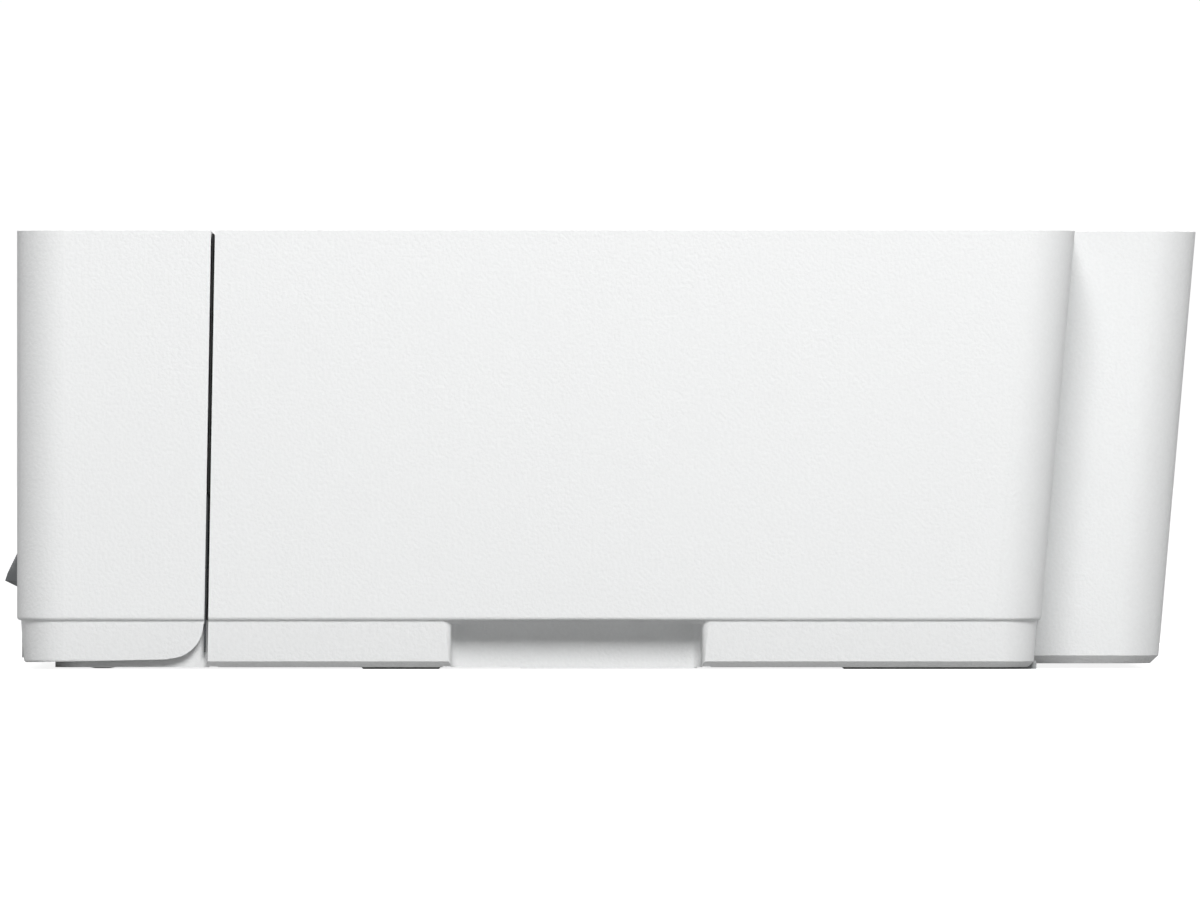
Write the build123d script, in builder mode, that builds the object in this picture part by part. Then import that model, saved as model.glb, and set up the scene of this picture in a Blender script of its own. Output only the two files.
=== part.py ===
from build123d import *
from math import acos, atan2, cos, degrees, pi, radians, sin, sqrt, tan
import os

# Compact A4 all-in-one inkjet printer, in millimetres.
# +X is the printer's right side, -Y its front and +Z up. The origin is on the table,
# under the centre of the whole outline. Every piece is modelled where it sits.

# ---------------------------------------------------------------- driving dimensions

# Outer form
body_width = 432.0
body_height = 131.6
front_depth = 58.9          # front face to the seam, at the top
rear_lean = 5.0             # degrees that the rear faces lean back
corner_radius = 14.0        # upright corners, in plan
wall = 2.5                  # moulded housing wall
band_top = 14.7             # where the housings end and the lower band starts
band_inset = 1.2            # the band stands in from the housings by this
band_draft = 4.0            # degrees of draft on the band
step_round = 1.0            # rounding of the housings' lower edge
floor_low = 0.6             # underside of the base
floor_thickness = 2.0
underside_chamfer = 1.8

# Clearances
fit_gap = 0.2               # between pieces that slip into each other
running_gap = 0.6           # beside pieces that slide or swing
seat_gap = 0.3              # between a moving piece and the seat it rests on
pin_clearance = 0.05        # round a pin in its bore

# Seam between front cover and main shell
seam_lean = 1.0             # degrees that the seam leans back
seam_gap = 1.2
seam_flange = 0.5           # thickness of the flange that shows in the seam
seam_flange_inset = 0.8
seam_flange_depth = 10.0
trim_thickness = 0.5        # grey strips that show in the seam below the flange

# Front cover
skirt_low = 2.0
skirt_rise = 1.2            # the skirt's lower edge climbs by this towards the seam
skirt_round = 10.5          # lower rear corner of the skirt
skirt_gap = 0.9             # between the skirt and the base inside it
opening_inset = 64.0        # side of the printer to the opening for the trays
output_height = 21.1        # clear height over the output tray

# Base
lap_height = 3.3            # tongue of the base inside the main shell
lap_thickness = 1.2
lap_root = 1.0              # depth of the tongue inside the band
pan_setback = 6.0           # front edge of the floor behind the skirt
pan_overlap = 20.0          # front part of the floor reaches behind the seam
paper_way_depth = 12.0      # cut in the rear of the base for the paper turn
grip_front_y = -44.6
grip_length = 75.2
grip_depth = 11.8
grip_round = 3.0
grip_ceiling = 1.8

# Rear cover that holds the paper turn
rear_cover_inset = 56.0     # side of the printer to the side of the rear cover
rear_cover_depth = 37.3     # it stands out behind the shell by this, at its top
rear_cover_low = 1.5
rear_cover_chamfer = 2.4
rear_opening_margin = 10.0  # opening in the shell is narrower than the cover by this
rear_opening_rise = 12.0    # opening reaches above the chassis deck by this

# Feet
foot_thickness = 0.6
foot_width = 44.0
foot_inset = 44.0           # side of the printer to the middle of a front foot
front_foot_gap = 3.1        # front foot to the side grip
front_foot_length = 24.0
rear_foot_height = 2.4
rear_foot_length = 58.4
rear_foot_width = 34.0
glide_radius = 4.75
glide_setback = 25.5        # front face to the middle of a glide
glide_low = 0.15            # lowest point of the domed front glides
grip_pad_low = 0.3
grip_pad_front = 20.9       # grip's front to the raised pad inside it
grip_pad_length = 52.9

# Scanner unit and its hinge
scanner_thickness = 24.0
scanner_front_slope = 2.6   # the front face leans in to clear the seam as it tilts
scanner_floor = 2.0
scanner_side_wall = 5.0
bezel_thickness = 2.3
glass_thickness = 2.7
glass_lip = 4.0             # glass held under the bezel all round
deck_thickness = 2.0
window_length = 298.0       # A4, its long side across the printer
window_depth = 217.0
window_y = 2.5
seam_to_window = 10.1
window_to_rear = 20.0       # window to the rear of the scanner unit
scanner_pivot_behind = 5.2  # pivot behind the scanner unit
shell_behind_pivot = 6.5    # rear face of the shell behind the pivot
scanner_pivot_below_top = 4.6
scanner_barrel_radius = 3.4
scanner_barrel_inset = 20.0
scanner_pin_radius = 2.5
scanner_boss_width = 4.0
scanner_boss_reach = 3.6    # boss in front of its bore's middle
scanner_boss_root = 9.0     # height of the boss's root below the bore
scanner_boss_drop = 1.0     # top of the boss below the printer's top
barrel_web_rise = 10.0      # foot of the barrel's web above the tub's floor
barrel_web_drop = 6.0       # knee of that web below the pivot
barrel_web_taper = 0.4

# Scanner lid
lid_height = 11.0
lid_gap = 0.3               # between the lid and the bezel
lid_wall = 2.2
lid_front_gap = 0.9
lid_setback = 2.0           # rear of the lid in front of the scanner unit's rear
lid_pivot_below_top = 3.2
lid_hinge_inset = 66.0
lid_ear_width = 8.0
lid_ear_radius = 2.4
lid_pin_radius = 1.5
lid_pin_hold = 2.0          # length of each pin's ends inside the lid
lid_notch_depth = 5.0
lid_rear_wall = 8.0
lid_rib_thickness = 1.2
lid_rib_spacing = 95.0
lid_rib_rows = 3
lid_rib_columns = 5
pad_thickness = 2.15
pad_margin = 2.0            # pad beyond the window all round

# Scan bar
scan_bar_width = 18.0
scan_bar_height = 11.0
scan_bar_park = 13.0        # middle of the bar beyond the window at rest
scan_rod_radius = 3.0
scan_rod_gap = 0.5          # between the rod and the tub's floor
light_guide_width = 4.0
light_guide_depth = 1.2
light_guide_margin = 4.0
shoe_half = 8.0
shoe_lap = 0.5              # the shoe reaches below the rod's middle by this

# Inner frame
cheek_thickness = 1.8
cheek_setback = 30.7        # rear of the cheeks in front of the shell's rear
ledge_width = 9.0
ledge_thickness = 1.5

# Paper tray
tray_wall = 2.0
tray_lap = 7.3              # height of the tray above the band
tray_setback = 18.7         # rear of the tray in front of the shell's rear
tray_edge = 1.0             # floor and sides behind the tray's front face
tray_face_thickness = 4.0
tray_rib_height = 2.2
tray_rib_thickness = 2.0
tray_rib_start = 25.0
tray_rib_spacing = 23.0
rib_break = 12.0            # ribs stop this far from the middle of a steadying bar
rack_break = 18.0           # and this far from the pinion's middle
tray_rail_thickness = 2.0
tray_rail_rise = 0.8        # rails above the output tray
sheet_margin = 4.0          # width guides inside the widest paper
guide_thickness = 2.0
guide_bar_height = 1.8
guide_length = 130.0
guide_lead = 80.0           # front end of the width guides in front of the pinion
guide_below_tray = 2.0
steady_bar_width = 8.0
steady_bar_length = 30.0
pinion_pin_radius = 2.0
pinion_behind_arm = 20.0    # pinion behind the pick arm's pivot
rack_width = 4.0
length_guide_half = 30.0
length_guide_bar_half = 5.5
length_guide_bar_length = 68.0

# Output tray
output_ledge_thickness = 1.0
output_tray_thickness = 5.0
output_tray_plate = 2.2
output_tray_setback = 2.0
output_tray_length = 113.0
output_tray_flange = 4.5
channel_gap = 1.0
channel_side = 4.0
channel_return = 8.0        # inward hooks that carry the extender, with their side
channel_return_thickness = 0.8
extender_thickness = 1.2
extender_length = 95.0
lip_drop = 0.5              # lip below the output tray
lip_height = 13.5
lip_reach = 5.0
lip_half = 62.0
lip_end_half = 96.0
lip_end_reach = 0.3
lip_root = 1.5
lip_nose = 0.18             # heights of the lip's two ridges, as shares of its height
lip_ridge = 0.36
lip_ridge_reach = 0.84      # share of the reach at the upper ridge
output_housing_wall = 2.5
output_housing_gap = 1.0    # output housing to the chassis
output_rim_overlap = 6.0
output_rim_above = 4.0
light_strip_height = 2.5
light_strip_margin = 12.0
light_strip_recess = 0.5

# Chassis
chassis_inset = 18.0        # side of the printer to the middle of a side plate
plate_thickness = 1.2
chassis_behind_seam = 4.1
chassis_below_scanner = 4.0
chassis_side_drop = 2.0     # side plates below the back wall's top
chassis_foot_depth = 46.0   # side plates stand on the floor to this far behind the feed roller
chassis_foot_length = 16.0
chassis_foot_width = 10.0
chassis_nose = 12.0         # slope at the upper front of the side plates
chassis_flange = 12.0
flange_motor_gap = 4.0
deck_rise = 6.5             # deck above the paper
deck_setback = 24.7         # rear of the deck in front of the shell's rear
front_rail_rise = 4.0
front_rail_height = 10.0
axle_tab_margin = 6.0       # tabs that hold the small axles, outside the paper
axle_end = 1.0
tab_margin = 2.0
stud_radius = 2.0
stud_end = 1.0
standoff_radius = 3.0
standoff_inset = 6.0

# Print engine
feed_to_eject = 82.0
eject_behind_front = 8.0    # eject roller behind the front of the chassis
back_behind_feed = 16.0     # back wall behind the feed roller
rod_before_feed = 4.0
rod_below_top = 10.0        # guide rod below the top of the carriage
rod_radius = 4.0
head_gap = 4.5              # carriage above the paper
carriage_half_width = 46.0
carriage_behind_eject = 6.0
carriage_wall = 2.0
carriage_nose_length = 26.0
carriage_nose_drop = 22.0
park_gap = 5.4              # parked carriage to the side plate
park_beyond = 34.0          # middle of the parked carriage beyond the paper
rod_to_body = 7.5           # guide rod to the rear of the carriage's bays
sleeve_wall = 4.0
sleeve_web_half = 7.0
nozzle_half = 9.0
nozzle_front = 22.0         # slot for the nozzles behind the front of the carriage
nozzle_length = 20.0
nozzle_drop = 1.4
nozzle_edge = 2.0           # nozzle plate inside its slot all round
cartridge_gap = 0.4
cartridge_top_gap = 1.0
cartridge_nose_length = 30.0
cartridge_round = 3.0
belt_before_back = 6.0
belt_above_rod = 10.0
belt_width = 5.0
belt_thickness = 1.0
belt_grip_half = 8.0
belt_grip_height = 4.0
pulley_radius = 6.0
pulley_inset = 14.0
pulley_flange = 2.0
pulley_flange_thickness = 0.7
pulley_side = 1.0
motor_hole_radius = 3.5
motor_length = 30.0
motor_radius = 11.0
motor_shaft_radius = 1.5
motor_chamfer = 1.0
motor_cap_radius = 4.0
motor_cap_length = 2.0
strip_above_rod = 9.0
strip_height = 8.0
strip_thickness = 0.4
strip_y_offset = 0.5        # encoder strip behind the guide rod's middle
fork_half = 6.0
fork_spacing = 4.0
fork_thickness = 2.0
fork_rise = 4.0
latch_head_room = 11.0      # latch pivots below the scanner unit
latch_above_carriage = 3.0
latch_pin_radius = 1.4
latch_pin_length = 1.4
latch_boss = 1.2
latch_thickness = 1.5
latch_ear_depth = 6.0
latch_flat = 30.0           # flat rear part of a latch
latch_length = 58.0
latch_fall = 14.0           # finger end below the pivot
latch_lip = 0.9             # finger end is thicker by this

# Paper path
feed_rise = 4.0             # feed roller's axis above the platen's underside
feed_radius = 5.5
shaft_radius = 3.0
shaft_end = 3.0
eject_radius = 4.0
roller_spacing = 56.0
feed_roller_width = 34.0
eject_roller_width = 16.0
turn_roller_width = 18.0
pinch_radius = 3.5
pinch_axle_radius = 1.5
pinch_width = 14.0
pinch_gap = 0.1
star_radius = 4.0
star_axle_radius = 1.0
star_thickness = 0.6
star_spacing = 10.0
star_points = 12
star_gap = 0.15
platen_plate = 3.0
platen_rib_gap = 0.5        # between the platen's ribs and the paper
platen_rib_spacing = 14.0
platen_rib_thickness = 1.2
platen_behind_front = 6.0   # platen behind the front of the carriage
platen_before_feed = 4.0
platen_beyond_paper = 1.0   # platen's right end inside the widest paper
station_wall = 2.0
station_below_carriage = 4.0
cap_half = 12.0
cap_depth_half = 13.0
cap_rim = 2.0
cap_recess = 3.0
cap_gap = 0.6
turn_before_cover = 32.0    # turn roller's axis in front of the rear cover's face
turn_below_paper = 10.5
turn_radius = 12.0
turn_gap = 2.0
turn_inset = 16.0           # ends of the turn guide inside the rear cover
turn_wall = 2.0
turn_lead = 10.0            # flat leads above and below the turn
turn_rib_thickness = 1.6
turn_rib_spacing = 43.0
turn_rib_rise = 6.0
turn_plate = 2.0
turn_cover_gap = 1.2
paper_guide_drop = 0.9      # guide below the paper
paper_guide_thickness = 1.6
paper_guide_margin = 26.0   # guide beyond the paper at each side
paper_guide_side = 2.0
paper_guide_front_gap = 2.0
paper_guide_rear_gap = 4.0
pick_before_rear = 39.0     # pick roller in front of the tray's rear
pick_radius = 10.0
pick_width = 26.0
pick_chamfer = 1.0
pick_pin_radius = 2.0
arm_length = 45.0           # pivot to pick roller, front to back
arm_pivot_drop = 4.0        # pivot below the paper guide
arm_half = 16.0
arm_thickness = 2.0
arm_hub_radius = 3.5
arm_taper = 0.5
arm_pin_radius = 2.5
arm_pin_end = 3.0
arm_bridge_start = 6.0
arm_bridge_depth = 6.0
arm_bridge_height = 4.0
arm_bridge_drop = 1.5
lug_half = 5.0
lug_thickness = 3.0
lug_lap = 1.0

# Electrics
board_left = 10.0
board_right_gap = 6.0       # main board to the right side plate
board_behind_back = 26.0
board_beyond_deck = 8.0
board_rise = 2.8
board_thickness = 1.6
chip_size = 28.0
chip_height = 2.2
memory_width = 14.0
memory_depth = 12.0
memory_height = 1.6
connector_length = 40.0
connector_depth = 6.0
connector_height = 7.0
connector_margin = 20.0
capacitor_radius = 4.0
capacitor_height = 12.0
capacitor_spacing = 12.0
supply_gap = 8.0            # supply to the left side plate
supply_width = 72.0
supply_behind_back = 40.0
supply_below_scanner = 12.8
supply_chamfer = 2.0

# Gears
gear_module = 0.8
guide_module = 1.0
backlash = 0.2
pressure_angle = 20.0
addendum = 0.9              # tooth height outside the pitch circle, in modules
dedendum = 1.2              # and inside it
feed_teeth = 40
eject_teeth = 38
motor_teeth = 16
guide_teeth = 16
gear_width = 5.0
gear_gap = 2.4              # gears to the left side plate
motor_drop = 9.5            # feed motor's axis below the feed roller's

# Controls
panel_half = 100.0
panel_setback = 13.0        # front face to the control panel
panel_depth = 32.0
panel_recess = 0.1
panel_flange = 4.0
panel_flange_thickness = 1.5
panel_post_radius = 2.5
panel_post_inset = 8.0
button_radius = 6.0
button_spacing = 32.0
button_count = 4
button_recess = 0.2
button_chamfer = 0.8
button_travel = 0.7
button_skirt = 1.0
button_skirt_thickness = 1.2
button_stem_radius = 2.0
switch_board_half = 76.0
switch_board_inset = 5.0
switch_depth = 11.0         # top of the switch board below the printer's top
switch_size = 6.0
switch_height = 1.0

# Rear sockets
socket_inset = 32.0         # side of the printer to the middle of a socket
inlet_rise = 12.8           # middle of the inlet above the chassis deck
inlet_width = 24.0
inlet_height = 16.0
inlet_pin_radius = 1.2
inlet_pin_spacing = 8.6
inlet_pin_recess = 4.0
usb_width = 13.0
usb_height = 12.0
usb_tongue_width = 6.0
usb_tongue_height = 4.0
usb_tongue_recess = 3.0
socket_wall = 1.5
socket_floor = 2.0
socket_depth = 14.0
socket_recess = 0.5

# ---------------------------------------------------------------- worked-out places

SIDES = (-1, 1)

# Across the printer
half_width = body_width / 2
cheek_outer = half_width - wall - fit_gap
cheek_inner = cheek_outer - cheek_thickness
scanner_half = cheek_inner - running_gap
lid_half = half_width - wall - running_gap
opening_half = half_width - opening_inset
tray_half = opening_half - running_gap
rail_inner = opening_half + seat_gap
rear_cover_half = half_width - rear_cover_inset
foot_x = half_width - foot_inset
scanner_barrel_half = half_width - scanner_barrel_inset
lid_hinge_x = half_width - lid_hinge_inset
scan_bar_home_x = -window_length / 2 - scan_bar_park
chassis_x = half_width - chassis_inset
side_inner = chassis_x - plate_thickness / 2
side_outer = chassis_x + plate_thickness / 2
carriage_park_x = side_inner - park_gap - carriage_half_width
paper_half_width = carriage_park_x - park_beyond
sheet_half_width = paper_half_width - sheet_margin
axle_tab_x = paper_half_width + axle_tab_margin
axle_half = axle_tab_x + plate_thickness + axle_end
pulley_x = chassis_x - pulley_inset
gear_x = -(side_outer + gear_gap + gear_width / 2)
inlet_x = -(half_width - socket_inset)
usb_x = half_width - socket_inset

# Front to back
window_front = window_y - window_depth / 2
window_rear = window_y + window_depth / 2
seam_top_y = window_front - seam_to_window
front_y = seam_top_y - front_depth
scanner_rear_y = window_rear + window_to_rear
lid_rear_y = scanner_rear_y - lid_setback
scanner_pivot_y = scanner_rear_y + scanner_pivot_behind
shell_rear_y = scanner_pivot_y + shell_behind_pivot
rear_cover_rear_y = shell_rear_y + rear_cover_depth
cheek_rear_y = shell_rear_y - cheek_setback
deck_rear_y = shell_rear_y - deck_setback
tray_rear_y = shell_rear_y - tray_setback
chassis_front_y = seam_top_y + chassis_behind_seam
output_housing_rear_y = chassis_front_y - output_housing_gap
eject_y = chassis_front_y + eject_behind_front
feed_y = eject_y + feed_to_eject
carriage_front_y = eject_y + carriage_behind_eject
rod_y = feed_y - rod_before_feed
chassis_back_y = feed_y + back_behind_feed
belt_y = chassis_back_y - belt_before_back
turn_y = rear_cover_rear_y - turn_before_cover
pick_y = tray_rear_y - pick_before_rear
arm_pivot_y = pick_y - arm_length
pinion_y = arm_pivot_y + pinion_behind_arm
guide_front_y = pinion_y - guide_lead
glide_y = front_y + glide_setback
panel_front_y = front_y + panel_setback

# Heights of the scanner unit and the print engine, down from the top
lid_low = body_height - lid_height
bezel_top = lid_low - lid_gap
scanner_top = bezel_top - bezel_thickness
scanner_low = scanner_top - scanner_thickness
scanner_pivot_z = body_height - scanner_pivot_below_top
lid_pivot_z = body_height - lid_pivot_below_top
latch_pivot_z = scanner_low - latch_head_room
carriage_top = latch_pivot_z - latch_above_carriage
rod_z = carriage_top - rod_below_top
belt_z = rod_z + belt_above_rod
strip_low = rod_z + strip_above_rod
chassis_back_top = scanner_low - chassis_below_scanner
chassis_side_top = chassis_back_top - chassis_side_drop

# Heights of the trays and the paper path, up from the floor
floor_top = floor_low + floor_thickness
tray_floor_low = floor_top + running_gap
tray_floor_top = tray_floor_low + tray_wall
rib_top = tray_floor_top + tray_rib_height
bar_low = tray_floor_top + fit_gap
tray_top = band_top + tray_lap
output_ledge_low = tray_top + running_gap + seat_gap
output_tray_low = output_ledge_low + output_ledge_thickness + seat_gap
output_tray_top = output_tray_low + output_tray_thickness
lip_low = output_tray_low - lip_drop
lip_high = lip_low + lip_height
opening_top = output_tray_top + output_height
housing_top = opening_top + output_housing_wall
tray_rail_top = output_tray_top + tray_rail_rise
platen_low = tray_rail_top
feed_z = platen_low + feed_rise
paper_z = feed_z + feed_radius
eject_z = paper_z - eject_radius
pinch_z = paper_z + pinch_radius + pinch_gap
star_z = paper_z + star_radius + star_gap
carriage_low = paper_z + head_gap
chassis_deck_z = paper_z + deck_rise
deck_top = chassis_deck_z + plate_thickness
front_rail_low = carriage_low + front_rail_rise
pick_z = tray_floor_top + seat_gap + pick_radius
turn_z = paper_z - turn_below_paper
board_z = deck_top + board_rise
board_top = board_z + board_thickness
inlet_z = deck_top + inlet_rise
usb_z = board_top + usb_height / 2 - fit_gap

# Places of the gears, which the rollers carry on the printer's left
motor_z = feed_z - motor_drop
motor_y = feed_y + sqrt(((feed_teeth + motor_teeth) * gear_module / 2) ** 2 - motor_drop ** 2)
roller_distance = sqrt(feed_to_eject ** 2 + (eject_z - feed_z) ** 2)
# The idler has the fewest teeth that reach both rollers
idler_teeth = int((2 * roller_distance / gear_module - feed_teeth - eject_teeth) / 2) + 1


# ---------------------------------------------------------------- shared helpers

def save(builder, name):
    """Label a finished piece and write its own file."""
    builder.part.label = name
    export_step(builder.part, f"parts/{name}.step")


def block(x, y, z, mode=Mode.ADD):
    """Rectangular block between (low, high) pairs."""
    with Locations(((x[0] + x[1]) / 2, (y[0] + y[1]) / 2, (z[0] + z[1]) / 2)):
        Box(x[1] - x[0], y[1] - y[0], z[1] - z[0], mode=mode)


def rod_along_x(radius, x, y, z, mode=Mode.ADD):
    """Round bar along X between the (low, high) pair x."""
    with Locations(Location(((x[0] + x[1]) / 2, y, z), (0, 90, 0))):
        Cylinder(radius, x[1] - x[0], mode=mode)


def rod_along_y(radius, x, y, z, mode=Mode.ADD):
    """Round bar along Y between the (low, high) pair y."""
    with Locations(Location((x, (y[0] + y[1]) / 2, z), (90, 0, 0))):
        Cylinder(radius, y[1] - y[0], mode=mode)


def rod_along_z(radius, x, y, z, mode=Mode.ADD):
    """Round bar along Z between the (low, high) pair z."""
    with Locations((x, y, (z[0] + z[1]) / 2)):
        Cylinder(radius, z[1] - z[0], mode=mode)


def side_profile(points, x, mode=Mode.ADD):
    """Extrude an outline of (y, z) points across the (low, high) pair x."""
    with BuildSketch(Plane.YZ.offset(x[0])) as outline:
        with BuildLine():
            Polyline(*points, close=True)
        make_face()
    extrude(outline.sketch, amount=x[1] - x[0], mode=mode)


def outward(side, low, high):
    """(low, high) pair of X on one side, from distances from the middle."""
    return (low, high) if side > 0 else (-high, -low)


def around(middle, half):
    """(low, high) pair of a span from its middle and half its length."""
    return (middle - half, middle + half)


def shell_rear(z):
    """Rear face of the main shell at height z."""
    return shell_rear_y - (body_height - z) * tan(radians(rear_lean))


def cover_rear(z):
    """Rear face of the rear cover at height z."""
    return rear_cover_rear_y - (body_height - z) * tan(radians(rear_lean))


def band_edge(z):
    """How far the lower band stands in from the housings at height z."""
    return band_inset + (band_top - z) * tan(radians(band_draft))


def seam_y(z):
    """Middle of the seam at height z."""
    return seam_top_y - (body_height - z) * tan(radians(seam_lean))


def seam_plane(behind):
    """Plane along the leaning seam, set back from its middle by behind."""
    middle = Plane(
        origin=(0, seam_top_y, body_height),
        x_dir=(1, 0, 0),
        z_dir=(0, cos(radians(seam_lean)), -sin(radians(seam_lean))),
    )
    return middle.offset(behind)


def plan(z, front, rear, half, radius):
    """Rounded rectangle in plan at height z."""
    with BuildSketch(Plane.XY.offset(z)) as outline:
        with Locations((0, (front + rear) / 2)):
            RectangleRounded(2 * half, rear - front, radius)
    return outline.sketch


def housing_form(inset, low, high, mode=Mode.ADD):
    """Upright form of the housings between two heights, set in by inset."""
    sections = [
        plan(z, front_y + inset, shell_rear(z) - inset, half_width - inset, corner_radius - inset)
        for z in (low, high)
    ]
    loft(sections, ruled=True, mode=mode)


def band_form(inset, low, high, mode=Mode.ADD):
    """Drafted form of the lower band between two heights, set in by inset."""
    sections = []
    for z in (low, high):
        edge = band_edge(z) + inset
        rear = shell_rear(band_top) - edge
        sections.append(plan(z, front_y + edge, rear, half_width - edge, corner_radius - edge))
    loft(sections, ruled=True, mode=mode)


def tooth_half_angle(radius, teeth, module):
    """Half the angle of an involute tooth at a radius, in radians."""
    pitch = teeth * module / 2
    base = pitch * cos(radians(pressure_angle))
    angle = acos(min(1.0, base / radius))
    involute = tan(radians(pressure_angle)) - radians(pressure_angle)
    return pi / (2 * teeth) - backlash / (2 * pitch) + involute - (tan(angle) - angle)


def gear_outline(teeth, module, first_angle=0.0):
    """Outline of a spur gear as (u, v) points, with a tooth at first_angle degrees."""
    pitch = teeth * module / 2
    tip = pitch + addendum * module
    root = pitch - dedendum * module
    low = tooth_half_angle(root, teeth, module)
    high = tooth_half_angle(tip, teeth, module)
    points = []
    for number in range(teeth):
        middle = radians(first_angle) + 2 * pi * number / teeth
        for radius, turn in ((root, -low), (tip, -high), (tip, high), (root, low)):
            points.append((radius * cos(middle + turn), radius * sin(middle + turn)))
    return points


def meshing_angle(first_angle, teeth, direction, other_teeth):
    """Tooth angle, in degrees, that meshes a second gear lying in a direction from the first."""
    return direction + 180 - teeth / other_teeth * (first_angle - direction) + 180 / other_teeth


def bearing(start, end):
    """Direction in degrees from one (y, z) point to another."""
    return degrees(atan2(end[1] - start[1], end[0] - start[0]))


def crossing(first, first_reach, second, second_reach):
    """Upper point at the given distances from two (y, z) points."""
    dy = second[0] - first[0]
    dz = second[1] - first[1]
    apart = sqrt(dy ** 2 + dz ** 2)
    along = (first_reach ** 2 - second_reach ** 2 + apart ** 2) / (2 * apart)
    off = sqrt(first_reach ** 2 - along ** 2)
    return (first[0] + (along * dy + off * dz) / apart,
            first[1] + (along * dz - off * dy) / apart)


def gear_wheel(teeth, angle, centre, x):
    """Add a spur gear round a (y, z) centre, across the (low, high) pair x."""
    points = [(centre[0] + u, centre[1] + v) for u, v in gear_outline(teeth, gear_module, angle)]
    side_profile(points, x)


os.makedirs("parts", exist_ok=True)


# ---------------------------------------------------------------- housings

# White front cover: the whole front section, with its skirt and the control strip on top
with BuildPart() as front_cover:
    housing_form(0, band_top, body_height)
    fillet(front_cover.edges().group_by(Axis.Z)[0], radius=step_round)
    band_form(0, skirt_low, band_top)
    fillet(front_cover.edges().group_by(Axis.Z)[0], radius=step_round)
    housing_form(wall, band_top, body_height - wall, mode=Mode.SUBTRACT)
    band_form(wall, skirt_low, band_top, mode=Mode.SUBTRACT)
    split(bisect_by=seam_plane(-seam_gap / 2), keep=Keep.BOTTOM)
    block((-opening_half, opening_half), (front_y, front_y + 2 * wall), (0, opening_top),
          mode=Mode.SUBTRACT)
    # The skirt's lower edge climbs towards the seam and ends in a large round
    skirt_rear = seam_y(skirt_low) - seam_gap / 2
    side_profile([(front_y, 0), (skirt_rear, 0), (skirt_rear, skirt_low + skirt_rise),
                  (front_y, skirt_low)], (-half_width, half_width), mode=Mode.SUBTRACT)
    with BuildSketch(Plane.YZ.offset(-half_width)) as skirt_corner:
        with Locations((skirt_rear - skirt_round, skirt_low + skirt_rise + skirt_round)):
            Rectangle(2 * skirt_round, 2 * skirt_round, align=(Align.MIN, Align.MAX))
            Circle(skirt_round, mode=Mode.SUBTRACT)
    extrude(skirt_corner.sketch, amount=body_width, mode=Mode.SUBTRACT)
    panel_y = (panel_front_y, panel_front_y + panel_depth)
    block((-panel_half, panel_half), panel_y, (body_height - wall, body_height), mode=Mode.SUBTRACT)
save(front_cover, "front_cover")

# White main shell: side walls and leaning rear wall, with bosses for the scanner's hinge
with BuildPart() as main_shell:
    housing_form(0, band_top, body_height)
    fillet(main_shell.edges().group_by(Axis.Z)[0], radius=step_round)
    housing_form(wall, band_top, body_height, mode=Mode.SUBTRACT)
    split(bisect_by=seam_plane(seam_gap / 2), keep=Keep.TOP)
    rear_opening = rear_cover_half - rear_opening_margin
    block((-rear_opening, rear_opening), (shell_rear(band_top) - 2 * wall, shell_rear_y),
          (band_top, chassis_deck_z + rear_opening_rise), mode=Mode.SUBTRACT)
    for x, z, width, height in ((inlet_x, inlet_z, inlet_width, inlet_height),
                                (usb_x, usb_z, usb_width, usb_height)):
        block(around(x, width / 2), (shell_rear(z) - 2 * wall, shell_rear(z) + wall),
              around(z, height / 2), mode=Mode.SUBTRACT)
    boss_low = scanner_barrel_half + running_gap
    boss_front = scanner_pivot_y - scanner_boss_reach
    boss_rear = shell_rear(scanner_pivot_z) - wall / 2
    for side in SIDES:
        boss_x = outward(side, boss_low, boss_low + scanner_boss_width)
        side_profile([(boss_front, scanner_pivot_z - scanner_boss_reach),
                      (boss_rear, scanner_pivot_z - scanner_boss_root),
                      (boss_rear, body_height - scanner_boss_drop),
                      (boss_front, body_height - scanner_boss_drop)], boss_x)
        rod_along_x(scanner_pin_radius + pin_clearance, boss_x, scanner_pivot_y, scanner_pivot_z,
                    mode=Mode.SUBTRACT)
save(main_shell, "main_shell")

# Lap tongue of the base, inside the main shell
with BuildPart() as tongue:
    tongue_low = band_top - lap_root
    tongue_top = band_top + lap_height
    housing_form(wall + fit_gap, tongue_low, tongue_top)
    housing_form(wall + fit_gap + lap_thickness, tongue_low, tongue_top, mode=Mode.SUBTRACT)
    split(bisect_by=Plane.XZ.offset(-seam_y(band_top) - seam_gap), keep=Keep.BOTTOM)

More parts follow.
